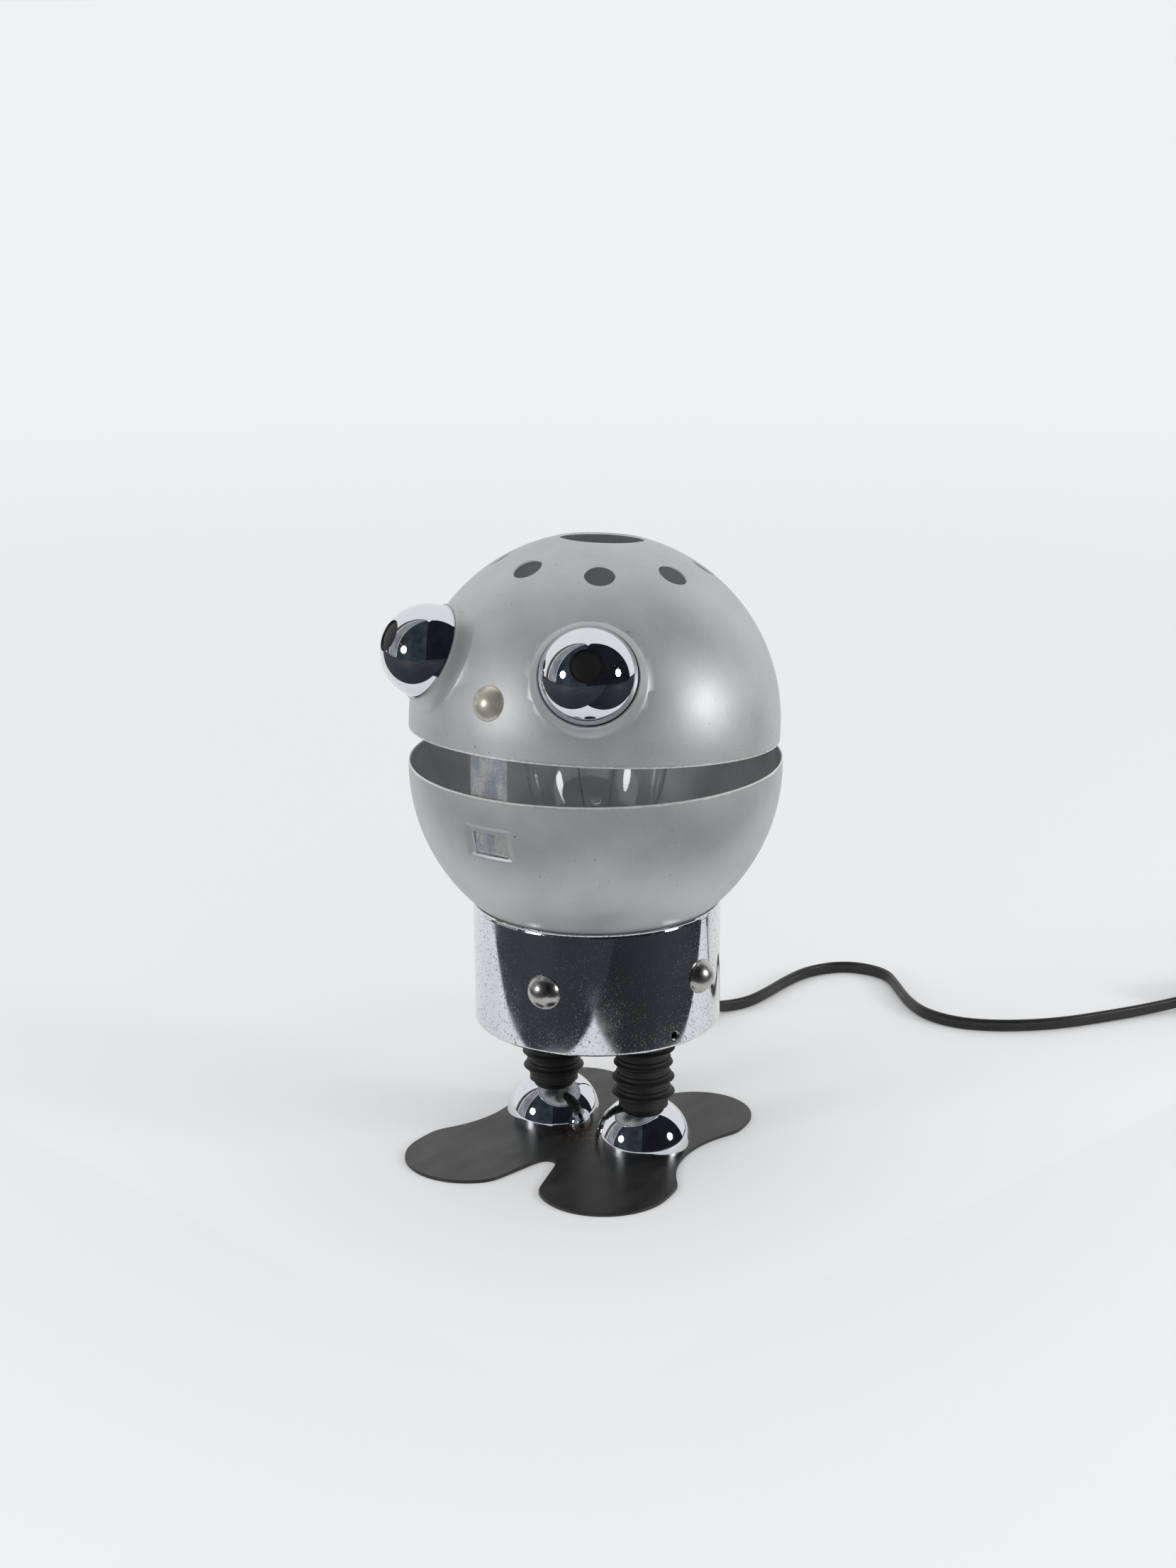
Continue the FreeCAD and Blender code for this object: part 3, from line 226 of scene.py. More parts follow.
def satin_nickel(name, code="C4C2BC", grime=0.0):
    """Dull nickel plate: a soft warm sheen, with bluish grime where grease has sat."""
    material, add, shader, where = new_material(name)
    place = {"Vector": where}
    drawn = add(MAPPING, {"Scale": (1, 1, 0.5)}, place)
    fine = add(NOISE, {"Scale": across(0.7), "Detail": 3.0}, place)
    patch = add(NOISE, {"Scale": across(7.0), "Detail": 3.0}, {"Vector": drawn})
    dull = add(RANGE, {"From Min": 0.3, "From Max": 0.7}, {"Value": fine})
    tint = add(MIX, {"data_type": "RGBA", 6: linear(code), 7: linear("AFADA8")}, {0: dull})
    grease = add(RANGE, {"From Min": 0.45, "From Max": 0.62, "To Max": grime}, {"Value": patch})
    tint = add(MIX, {"data_type": "RGBA", 7: linear("6C7C94")}, {0: grease, 6: (tint, 2)})
    rough = add(RANGE, {"From Min": 0.3, "From Max": 0.7, "To Min": 0.2, "To Max": 0.36}, {"Value": patch})
    relief = add(BUMP, {"Distance": 0.01 * MM}, {"Height": fine})
    metal = {"Metallic": 1.0 - grime * 0.7}
    wire(shader, metal, {"Base Color": (tint, 2), "Roughness": rough, "Normal": relief})
    return material


def overspray():
    """The shells' unpolished inside: thin dull silver overspray on steel."""
    return plain_solid("aluminium overspray", "D4D7D8", 0.6, 0.0, 1.0, 0.02)


def line_inside(piece, centre, r, material):
    """Give the faces on a shell's inner side a second material."""
    piece.data.materials.append(material)
    for face in piece.data.polygons:
        out = face.center - centre
        if out.length < r and face.normal.dot(out) < 0:
            face.material_index = 1


def nose_lacquer():
    """Old clear lacquer on brass: a pearly warm cap with faint clouds."""
    material, add, shader, where = new_material("lacquered brass")
    cloud = add(NOISE, {"Scale": across(3.0), "Detail": 3.0}, {"Vector": where})
    stain = add(RANGE, {"From Min": 0.35, "From Max": 0.65}, {"Value": cloud})
    tint = add(MIX, {"data_type": "RGBA", 6: linear("DCD6CB"), 7: linear("CFC2B0")}, {0: stain})
    relief = add(BUMP, {"Distance": 0.02 * MM}, {"Height": cloud})
    wire(shader, {"Metallic": 0.75, "Roughness": 0.36}, {"Base Color": (tint, 2), "Normal": relief})
    return material


def black_steel():
    """Satin black stove enamel on steel plate: greyed where worn, rusty between the feet."""
    material, add, shader, where = new_material("black enamelled steel")
    place = {"Vector": where}
    drawn = add(MAPPING, {"Scale": (1, 0.35, 1)}, place)
    fine = add(NOISE, {"Scale": across(0.6), "Detail": 3.0}, place)
    scuff = add(NOISE, {"Scale": across(9.0), "Detail": 6.0}, {"Vector": drawn})
    patch = add(NOISE, {"Scale": across(2.2), "Detail": 5.0}, place)
    away = add(VECTOR_MATH, {"operation": "LENGTH"}, {0: where})
    near = add(RANGE, {"From Min": 0.030, "From Max": 0.008}, {"Value": (away, "Value")})
    blotch = add(RANGE, {"From Min": 0.5, "From Max": 0.62}, {"Value": patch})
    rust = add(MATH, {"operation": "MULTIPLY"}, {0: blotch, 1: near})
    worn = add(RANGE, {"From Min": 0.4, "From Max": 0.75}, {"Value": scuff})
    tint = add(MIX, {"data_type": "RGBA", 6: linear("1A1A1A"), 7: linear("2B2A29")}, {0: worn})
    tint = add(MIX, {"data_type": "RGBA", 7: linear("5E4632")}, {0: rust, 6: (tint, 2)})
    rough = add(RANGE, {"From Min": 0.3, "From Max": 0.75, "To Min": 0.34, "To Max": 0.52}, {"Value": scuff})
    relief = add(BUMP, {"Distance": 0.015 * MM}, {"Height": fine})
    wire(shader, {}, {"Base Color": (tint, 2), "Roughness": rough, "Normal": relief})
    return material


def plain_solid(name, code, rough, metal=0.0, grain_mm=0.8, height_mm=0.01):
    """A moulded, cast or plated surface with a fine grain and slight cloudiness."""
    material, add, shader, where = new_material(name)
    place = {"Vector": where}
    fine = add(NOISE, {"Scale": across(grain_mm), "Detail": 3.0}, place)
    cloud = add(NOISE, {"Scale": across(12.0), "Detail": 3.0}, place)
    base = linear(code)
    darker = [c * 0.82 for c in base[:3]] + [1.0]
    shade = add(RANGE, {"From Min": 0.35, "From Max": 0.7}, {"Value": cloud})
    tint = add(MIX, {"data_type": "RGBA", 6: base, 7: darker}, {0: shade})
    spread = add(
        RANGE, {"From Min": 0.3, "From Max": 0.7, "To Min": rough * 0.9, "To Max": rough * 1.15},
        {"Value": cloud})
    relief = add(BUMP, {"Distance": height_mm * MM}, {"Height": fine})
    wire(shader, {"Metallic": metal}, {"Base Color": (tint, 2), "Roughness": spread, "Normal": relief})
    return material


def clear_glass():
    """Blown soda glass: clear, thin and very smooth, with faint drawn streaks."""
    material, add, shader, where = new_material("blown soda glass")
    drawn = add(MAPPING, {"Scale": (1, 1, 0.3)}, {"Vector": where})
    streak = add(NOISE, {"Scale": across(14.0), "Detail": 2.0}, {"Vector": drawn})
    relief = add(BUMP, {"Distance": 0.03 * MM, "Strength": 0.4}, {"Height": streak})
    soda = {"Base Color": linear("FAFCFC"), "Roughness": 0.0, "IOR": 1.51, "Transmission Weight": 1.0}
    wire(shader, soda, {"Normal": relief})
    return material


def deselect():
    """Leave edit mode and select nothing."""
    if bpy.context.object and bpy.context.object.mode != "OBJECT":
        bpy.ops.object.mode_set(mode="OBJECT")
    bpy.ops.object.select_all(action="DESELECT")


def only(piece):
    """Make one piece the only selected and the active one."""
    deselect()
    piece.select_set(True)
    bpy.context.view_layer.objects.active = piece


def linked(name, data):
    """A new object in the scene for a mesh, a curve, a camera or a light."""
    made = bpy.data.objects.new(name, data)
    bpy.context.scene.collection.objects.link(made)
    return made


def flat_curve(name, outline):
    """A closed flat curve through (x, y) points."""
    data = bpy.data.curves.new(name, "CURVE")
    data.dimensions = "2D"
    spline = data.splines.new("POLY")
    spline.points.add(len(outline) - 1)
    for point, (x, y) in zip(spline.points, outline):
        point.co = (x, y, 0, 1)
    spline.use_cyclic_u = True
    return linked(name, data)


def spun(name, profile, steps=96, angle=TURN):
    """Turn a closed outline of (radius, height) corners in metres about Z."""
    deselect()
    bpy.ops.mesh.primitive_circle_add(vertices=len(profile), fill_type="NOTHING", location=(0, 0, 0))
    piece = bpy.context.object
    piece.name = name
    for vertex, (r, z) in zip(piece.data.vertices, profile):
        vertex.co = (r, 0, z)
    bpy.ops.object.mode_set(mode="EDIT")
    bpy.ops.mesh.select_all(action="SELECT")
    bpy.ops.mesh.spin(steps=steps, angle=angle, center=(0, 0, 0), axis=(0, 0, 1))
    bpy.ops.mesh.select_all(action="SELECT")
    bpy.ops.mesh.remove_doubles(threshold=1e-6)
    bpy.ops.mesh.normals_make_consistent(inside=False)
    bpy.ops.object.mode_set(mode="OBJECT")
    return piece


def arc(r, centre_z, start, end, steps):
    """Points on an arc round the axis at a height, angles in degrees from the top."""
    points = []
    for k in range(steps + 1):
        a = math.radians(start + (end - start) * k / steps)
        points.append((r * math.sin(a), centre_z + r * math.cos(a)))
    return points


def low_cap(half_width, height, steps):
    """The arc of a shallow cap, from its top to its edge at height 0."""
    r = (half_width ** 2 + height ** 2) / (2 * height)
    return arc(r, height - r, 0, math.degrees(math.asin(half_width / r)), steps)


def cut(piece, cutters, operation="DIFFERENCE"):
    """Apply an exact boolean of each cutter and delete it."""
    for cutter in cutters:
        only(piece)
        modifier = piece.modifiers.new("cut", "BOOLEAN")
        modifier.operation = operation
        modifier.solver = "EXACT"
        modifier.object = cutter
        bpy.ops.object.modifier_apply(modifier=modifier.name)
        bpy.data.objects.remove(cutter)


def rod(r, start, end):
    """A cylinder between two points, used to cut holes."""
    way = end - start
    deselect()
    bpy.ops.mesh.primitive_cylinder_add(vertices=48, radius=r, depth=way.length, location=(0, 0, 0))
    piece = bpy.context.object
    place_along(piece, way, Matrix.Translation((start + end) / 2))
    return piece


def block(low, high):
    """A box between two corners."""
    deselect()
    bpy.ops.mesh.primitive_cube_add(size=1, location=(0, 0, 0))
    piece = bpy.context.object
    low, high = Vector(low), Vector(high)
    piece.data.transform(Matrix.Translation((low + high) / 2) @ Matrix.Diagonal((*(high - low), 1)))
    return piece


def soften(piece, width):
    """Bevel a piece's sharp edges."""
    only(piece)
    modifier = piece.modifiers.new("edge", "BEVEL")
    modifier.width = width
    modifier.segments = 2
    modifier.limit_method = "ANGLE"
    modifier.angle_limit = math.radians(40)
    modifier.use_clamp_overlap = True
    bpy.ops.object.modifier_apply(modifier=modifier.name)


def smooth(piece, degrees=32):
    """Shade a piece smooth, except across edges sharper than the angle."""
    only(piece)
    bpy.ops.object.shade_smooth_by_angle(angle=math.radians(degrees))


def finish_piece(piece, material, body, slot, *nodes):
    """Give a piece its material and body, and hide the construction nodes it stands for; the slot is not
    used.
    """
    piece.data.materials.clear()
    piece.data.materials.append(material)
    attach(piece, body)
    if nodes:
        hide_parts(*nodes)
    return piece


def lean_matrix():
    """From a dome modelled upright at the origin to its resting place."""
    return Matrix.Translation(DOME_CENTRE) @ Matrix.Rotation(-sizes().dome_lean, 4, "X")


def face_way(turn, polar):
    """The direction from the dome's centre at a turn from the front and an angle from the top."""
    return Vector((
        math.sin(turn) * math.sin(polar), -math.cos(turn) * math.sin(polar), math.cos(polar)))


def place_along(piece, way, matrix=Matrix.Identity(4)):
    """Turn a piece modelled along Z onto a direction."""
    turn = way.to_track_quat("Z", "Y").to_matrix().to_4x4()
    piece.data.transform(matrix @ turn)


def copied(node, name, bevel=0.0):
    """A merged copy of a construction node with softened edges."""
    piece = linked(name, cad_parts[node].data.copy())
    only(piece)
    bpy.ops.object.mode_set(mode="EDIT")
    bpy.ops.mesh.select_all(action="SELECT")
    bpy.ops.mesh.remove_doubles(threshold=2e-6)
    bpy.ops.mesh.dissolve_limited(angle_limit=math.radians(1.0))
    bpy.ops.object.mode_set(mode="OBJECT")
    if bevel:
        soften(piece, bevel)
    smooth(piece, 35)
    return piece


class LAMP_OT_bowl(bpy.types.Operator):
    """Lower head bowl with its rolled rim and pressed catch slot"""

    bl_idname = "lamp.bowl"
    bl_label = "Head bowl"

    def execute(self, context):
        r, sheet = sizes().bowl_radius, sizes().sheet
        hole, rim, roll = 0.0203, 0.1645, 0.0003
        low = 180 - math.degrees(math.asin(hole / r))
        low_in = 180 - math.degrees(math.asin(hole / (r - sheet)))
        top = math.degrees(math.acos((rim - BOWL_CENTRE.z) / r))
        outer = arc(r, BOWL_CENTRE.z, low, top, 60)
        inner = arc(r - sheet, BOWL_CENTRE.z, top, low_in, 60)
        edge = [(r - sheet * 0.5, rim + roll)]
        bowl = spun("bowl_shell", outer + edge + inner, 160)
        self.press_slot(bowl, r)
        cut(bowl, [block((-0.0080, -0.086, 0.1403), (0.0080, -0.062, 0.1500))])
        smooth(bowl, 40)
        material = silver_lacquer("aluminium lacquer on the bowl", (0, 0, -1), -rim - roll)
        finish_piece(bowl, material, "base", "head_lacquer", "head_bowl")
        line_inside(bowl, BOWL_CENTRE, r - sheet * 0.5, overspray())
        lip = self.slot_lip(r)
        finish_piece(lip, satin_nickel("bare pressed lip", "D4D4D2"), "base", "nickel_plate")
        return {"FINISHED"}

    def press_slot(self, bowl, r):
        """Push the sheet in round the slot, after the faces there are made finer."""
        half_width, low, high = 0.0115, 0.1385, 0.1535
        middle, half_height = 0.1462, 0.0072
        depth, slope = 0.0011, 0.28

        def near(co, reach):
            if co.y >= -0.5 * r or abs(co.x) >= half_width + reach:
                return False
            return low - reach < co.z < high + reach

        only(bowl)
        for _ in range(2):
            for face in bowl.data.polygons:
                face.select = near(face.center, 0.004)
            for edge in bowl.data.edges:
                ends = [bowl.data.vertices[k].co for k in edge.vertices]
                edge.select = all(near(co, 0.006) for co in ends)
            for vertex in bowl.data.vertices:
                vertex.select = near(vertex.co, 0.006)
            bpy.ops.object.mode_set(mode="EDIT")
            bpy.ops.mesh.subdivide(number_cuts=1)
            bpy.ops.object.mode_set(mode="OBJECT")
        for vertex in bowl.data.vertices:
            co = vertex.co
            if not near(co, 0.0):
                continue
            out = co - BOWL_CENTRE
            outside = max(abs(co.x) / half_width, abs(co.z - middle) / half_height)
            share = max(0.0, min(1.0, (1.0 - outside) / slope))
            share = share * share * (3 - 2 * share)
            vertex.co = BOWL_CENTRE + out * ((out.length - depth * share) / out.length)

    def slot_lip(self, r):
        """Bright turned-in lip along the slot's lower edge."""
        wall = -math.sqrt((r - 0.0019) ** 2 - (BOWL_CENTRE.z - 0.140) ** 2)
        lip = block((-0.0075, wall - 0.0006, 0.13945), (0.0075, wall + 0.0024, 0.14015))
        lip.name = "slot_lip"
        soften(lip, 0.0002)
        smooth(lip)
        return lip


class LAMP_OT_dome(bpy.types.Operator):
    """Upper head dome with its top opening, vents and raised eye seats"""

    bl_idname = "lamp.dome"
    bl_label = "Head dome"

    def execute(self, context):
        s = sizes()
        r, sheet = s.dome_radius, s.sheet
        top_hole, skirt, roll = 0.0173, 0.0053, 0.0002
        vent_r, vent_turn, vent_polar, reach = 0.0061, 33.4, 32.4, 0.006
        start = math.degrees(math.asin(top_hole / r))
        start_in = math.degrees(math.asin(top_hole / (r - sheet)))
        outer = arc(r, 0, start, 90, 56)
        inner = arc(r - sheet, 0, 90, start_in, 56)
        foot = [(r, -skirt * 0.5), (r, -skirt), (r - sheet * 0.5, -skirt - roll), (r - sheet, -skirt)]
        dome = spun("dome_cover", outer + foot + inner, 144)
        seats = []
        for sign in (-1, 1):
            profile = arc(r - sheet * 0.5, 0, 0, 18.2, 12) + [
                (0.0230, 0.0715), (0.0224, 0.0721), (0.0218, 0.0729), (0.0212, 0.0740), (0.0207, 0.0754),
                (0.0204, 0.0766), (0.02015, 0.0776), (0.0198, 0.0781), (0, 0.0781),
            ]
            seat = spun("seat", profile, 96)
            place_along(seat, face_way(sign * s.eye_side, s.eye_polar))
            seats.append(seat)
        cut(dome, seats, "UNION")
        cutters = []
        for k in range(s.vents):
            way = face_way(math.radians(vent_turn) + TURN * k / s.vents, math.radians(vent_polar))
            cutters.append(rod(vent_r, way * (r - reach), way * (r + reach)))
        cut(dome, cutters)
        dome.data.transform(lean_matrix())
        smooth(dome, 40)
        axis = Vector((0, math.sin(s.dome_lean), math.cos(s.dome_lean)))
        level = axis.dot(DOME_CENTRE) - skirt - roll
        material = silver_lacquer("aluminium lacquer on the dome", axis, level)
        finish_piece(dome, material, "dome", "head_lacquer", "dome_shell")
        line_inside(dome, DOME_CENTRE, r - sheet * 0.25, overspray())
        return {"FINISHED"}


class LAMP_OT_eyes(bpy.types.Operator):
    """Chromed half ball eyes with black pupils"""

    bl_idname = "lamp.eyes"
    bl_label = "Eyes and pupils"

    def execute(self, context):
        s = sizes()
        r, hole, flange, thin = s.eye_radius, 0.0065, 0.00035, 0.0003
        chrome = polished_chrome("chrome plated eye", 0.0, 0.022)
        black = plain_solid("black pupil paint", "0E0E0E", 0.55)
        for side, sign in (("left", 1), ("right", -1)):
            start = math.degrees(math.asin(hole / r))
            start_in = math.degrees(math.asin(hole / (r - WALL)))
            outer = arc(r, 0, start, 90, 48)
            inner = arc(r - WALL, 0, 90, start_in, 48)
            edge = [(r + flange, 0.0), (r + flange, -thin), (r - WALL, -thin)]
            eye = spun("eye_cap_" + side, outer + edge + inner, 128)
            way = face_way(sign * s.eye_side, s.eye_polar)
            place = lean_matrix() @ Matrix.Translation(way * (s.eye_seat + flange))
            place_along(eye, way, place)
            smooth(eye, 45)
            finish_piece(eye, chrome, "dome", "polished_chrome", "eye_" + side)
            back = arc(r - WALL - 0.0001, 0, 0, start + 9, 10)
            front = [(x * 0.94, z - 0.0012) for x, z in reversed(back)]
            pupil = spun("pupil_" + side, back + front, 64)
            place_along(pupil, way, place)
            smooth(pupil, 45)
            names = ("eye_pupils",) if side == "left" else ()
            finish_piece(pupil, black, "dome", "black_satin_steel", *names)
        return {"FINISHED"}


class LAMP_OT_nose(bpy.types.Operator):
    """Nose rivet and the spring strip behind it"""

    bl_idname = "lamp.nose"
    bl_label = "Nose and catch strip"

    def execute(self, context):
        w, height, under = 0.0069, 0.0036, 0.0008
        profile = low_cap(w, height, 14) + [(w + 0.0001, -under / 2), (w - 0.0004, -under), (0, -under)]
        nose = spun("nose_cap", profile, 64)
        way = face_way(0.0, math.radians(78.2))
        place_along(nose, way, lean_matrix() @ Matrix.Translation(way * (sizes().dome_radius + 0.0002)))
        smooth(nose, 50)
        finish_piece(nose, nose_lacquer(), "dome", "nose_brass", "nose_rivet")
        strip = copied("catch_strip", "spring_strip", 0.00012)
        greasy = satin_nickel("greasy nickel strip", "E4E6E8", 0.55)
        finish_piece(strip, greasy, "dome", "nickel_plate", "catch_strip")
        return {"FINISHED"}


class LAMP_OT_drum(bpy.types.Operator):
    """Chromed body drum with its rolled ends, two holes and four studs"""

    bl_idname = "lamp.drum"
    bl_label = "Body drum and studs"

    def execute(self, context):
        s = sizes()
        r, sheet, low, high = s.drum_radius, s.sheet, 0.053, 0.10485
        profile = [
            (r - 0.0024, low), (r - 0.0009, low), (r - 0.0003, low + 0.0003), (r, low + 0.0009),
            (r, low + 0.0012), (r, low + 0.0026), (r, low + 0.0072), (r, low + 0.0128), (r, low + 0.020),
            (r, low + 0.036), (r, high - 0.0020), (r, high - 0.0016), (r - 0.00025, high - 0.0013),
            (r - 0.00025, high - 0.0010), (r + 0.0002, high - 0.0008), (r + 0.0003, high - 0.0004),
            (r, high), (r - sheet, high), (r - sheet, low + sheet), (r - 0.0024, low + sheet),
        ]
        drum = spun("drum_tube", profile, 192)
        cutters = []
        for hole_r, turn, z in ((0.002, 72.4, 0.0579), (0.0042, 180.0, 0.061)):
            way, middle, reach = self.turned(turn), Vector((0, 0, z)), 0.006
            cutters.append(rod(hole_r, middle + way * (r - reach), middle + way * (r + reach)))
        cut(drum, cutters)
        smooth(drum, 40)
        chrome = polished_chrome("old chrome plate", 0.75, 0.055)
        finish_piece(drum, chrome, "base", "polished_chrome", "body_drum")
        nickel = satin_nickel("satin nickel stud")
        w, height, under = 0.0072, 0.0050, 0.0006
        profile = low_cap(w, height, 16) + [(w - 0.0002, -under), (0, -under)]
        middle = Vector((0, 0, 0.0792))
        for k, turn in enumerate((9.5, 90.0, 180.0, 270.0)):
            stud = spun("stud_%d" % (k + 1), profile, 64)
            way = self.turned(turn)
            place_along(stud, way, Matrix.Translation(middle + way * (r - 0.0001)))
            smooth(stud, 50)
            finish_piece(stud, nickel, "base", "nickel_plate", *(("body_studs",) if k == 0 else ()))
        return {"FINISHED"}

    def turned(self, degrees):
        """The level direction at a turn from the front."""
        a = math.radians(degrees)
        return Vector((math.sin(a), -math.cos(a), 0))


class LAMP_OT_legs(bpy.types.Operator):
    """Foot domes, rubber bellows and the foot plate"""

    bl_idname = "lamp.legs"
    bl_label = "Legs and foot plate"

    def execute(self, context):
        chrome = polished_chrome("chrome plated foot", 0.12, 0.03)
        rubber = plain_solid("black rubber", "171716", 0.55, 0.0, 0.9, 0.02)
        for side in ("left", "right"):
            low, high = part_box("foot_dome_" + side)
            centre = (low + high) / 2
            foot_r, foot_h, hole = 0.0203, 0.0196, 0.0103
            r = (foot_r ** 2 + foot_h ** 2) / (2 * foot_h)
            centre_z = PLATE_THICK + foot_h - r
            start = math.degrees(math.asin(hole / r))
            end = math.degrees(math.acos((PLATE_THICK - centre_z) / r))
            outer = arc(r, 0, start, end, 44)
            inner = arc(r - WALL, 0, end, start + 0.6, 44)
            foot = spun("foot_cap_" + side, outer + inner, 128)
            foot.data.transform(Matrix.Translation((centre.x, centre.y, centre_z)))
            smooth(foot, 45)
            finish_piece(foot, chrome, "base", "polished_chrome", "foot_dome_" + side)
            bellows = self.bellows(side)
            finish_piece(bellows, rubber, "base", "bellows_rubber", "leg_bellows_" + side)
        plate = self.plate()
        finish_piece(plate, black_steel(), "base", "black_satin_steel", "base_plate")
        return {"FINISHED"}

    def plate_outline(self):
        """The construction plate's outer edge, evenly spaced and with its corners eased."""
        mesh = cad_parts["base_plate"].data
        work = bmesh.new()
        work.from_mesh(mesh)
        bmesh.ops.remove_doubles(work, verts=work.verts, dist=2e-6)
        work.normal_update()
        top = max(v.co.z for v in work.verts) - 1e-5
        beyond = {}
        for edge in work.edges:
            ends = edge.verts
            facing_up = sorted(face.normal.z > 0.9 for face in edge.link_faces)
            if all(v.co.z > top for v in ends) and facing_up == [False, True]:
                beyond.setdefault(ends[0], []).append(ends[1])
                beyond.setdefault(ends[1], []).append(ends[0])
        start = max(beyond, key=lambda v: v.co.x)
        walk, last = [start], None
        while True:
            ahead = [v for v in beyond[walk[-1]] if v is not last]
            last = walk[-1]
            if ahead[0] is start:
                break
            walk.append(ahead[0])
        corners = [v.co.xy.copy() for v in walk]
        work.free()
        step, even, spare = 0.001, [], 0.0
        for here, there in zip(corners, corners[1:] + corners[:1]):
            way = there - here
            while spare < way.length:
                even.append(here + way * (spare / way.length))
                spare += step
            spare -= way.length
        reach, spread = 9, 3.2
        weights = [math.exp(-0.5 * (k / spread) ** 2) for k in range(-reach, reach + 1)]
        total = sum(weights)
        eased = []
        for k in range(len(even)):
            near = (even[(k + j - reach) % len(even)] * w for j, w in enumerate(weights))
            eased.append(sum(near, Vector((0, 0))) / total)
        return eased

    def plate(self):
        """Flat steel plate with eased edges."""
        ease = 0.0003
        plate = flat_curve("foot_plate", self.plate_outline())
        plate.data.fill_mode = "BOTH"
        plate.data.extrude = PLATE_THICK / 2 - ease
        plate.data.bevel_depth = ease
        plate.data.bevel_resolution = 2
        plate.data.offset = -ease
        only(plate)
        bpy.ops.object.convert(target="MESH")
        plate = bpy.context.object
        plate.data.transform(Matrix.Translation((0, 0, PLATE_THICK / 2)))
        smooth(plate, 30)
        return plate

    def bellows(self, side):
        """Five full ribs, each with a finer ridge in the groove above it."""
        low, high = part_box("leg_bellows_" + side)
        ribs, neck, bore = 5, 0.0041, 0.0084
        foot, top = low.z, high.z
        pitch = (top - foot - neck) / ribs
        outline = [(bore, foot), (0.0099, foot), (0.0102, foot + 0.0004), (0.0102, foot + neck)]
        for k in range(ribs):
            base = foot + neck + pitch * k
            swell = 0.0128 + 0.0005 * math.sin(2.2 * k + (0.6 if side == "left" else 0.0))
            for share, r in (
                (0.04, 0.0107), (0.22, 0.0109), (0.30, 0.0115), (0.36, swell - 0.0003), (0.40, swell),
                (0.44, swell - 0.0001), (0.50, 0.0117), (0.56, 0.0110), (0.70, 0.0108), (0.76, 0.0113),
                (0.79, 0.0114), (0.84, 0.0108), (0.96, 0.0106),
            ):
                outline.append((r, base + pitch * share))
        outline += [(0.0108, top), (bore, top)]
        piece = spun("bellows_" + side, outline, 80)
        centre = (low + high) / 2
        piece.data.transform(Matrix.Translation((centre.x, centre.y, 0)))
        smooth(piece, 24)
        return piece


class LAMP_OT_bulb(bpy.types.Operator):
    """Clear bulb with its glass stem and support wires"""

    bl_idname = "lamp.bulb"
    bl_label = "Bulb"

    def outline(self, offset, foot):
        """Envelope points from the crown down to the neck."""
        crown_r, crown_z, steps = 0.030, 0.167, 10
        waist, neck = (0.0223 - offset, 0.1365), (0.0135 - offset, 0.121)
        points = arc(crown_r - offset, crown_z, 0, 100, 40)
        for (end_r, end_z), bulge in ((waist, 0.0010), (neck, -0.0011)):
            start_r, start_z = points[-1]
            for k in range(1, steps + 1):
                t = k / steps
                r = start_r + (end_r - start_r) * t + bulge * math.sin(math.pi * t)
                points.append((r, start_z + (end_z - start_z) * t))
        points.append((neck[0], foot))
        return points

    def execute(self, context):
        glass = clear_glass()
        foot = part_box("bulb_glass")[0].z
        outer = self.outline(0.0, foot)
        inner = list(reversed(self.outline(0.0006, foot)))
        envelope = spun("bulb_envelope", outer + inner, 128)
        smooth(envelope, 60)
        finish_piece(envelope, glass, "base", "bulb_glass", "bulb_glass")
        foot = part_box("bulb_stem")[0].z
        profile = [
            (0, foot), (0.0116, foot), (0.0116, foot + 0.0012),
            (0.0070, foot + 0.0060), (0.0042, foot + 0.0120), (0.0030, foot + 0.0200),
            (0.0013, foot + 0.0240), (0.0013, foot + 0.0315),
        ]
        bead_r, bead_z = 0.0022, foot + 0.0335
        for degrees in range(36, 180, 16):
            a = math.radians(degrees)
            profile.append((bead_r * math.sin(a), bead_z - bead_r * math.cos(a)))
        profile.append((0, bead_z + bead_r))
        stem = spun("bulb_glass_stem", profile, 48)
        smooth(stem, 60)
        finish_piece(stem, glass, "base", "bulb_glass", "bulb_stem")
        nickel = plain_solid("drawn nickel wire", "CFCFCC", 0.3, 0.5, 0.4)
        supports = copied("bulb_supports", "lead_in_wires")
        finish_piece(supports, nickel, "base", "zinc_steel", "bulb_supports")
        return {"FINISHED"}


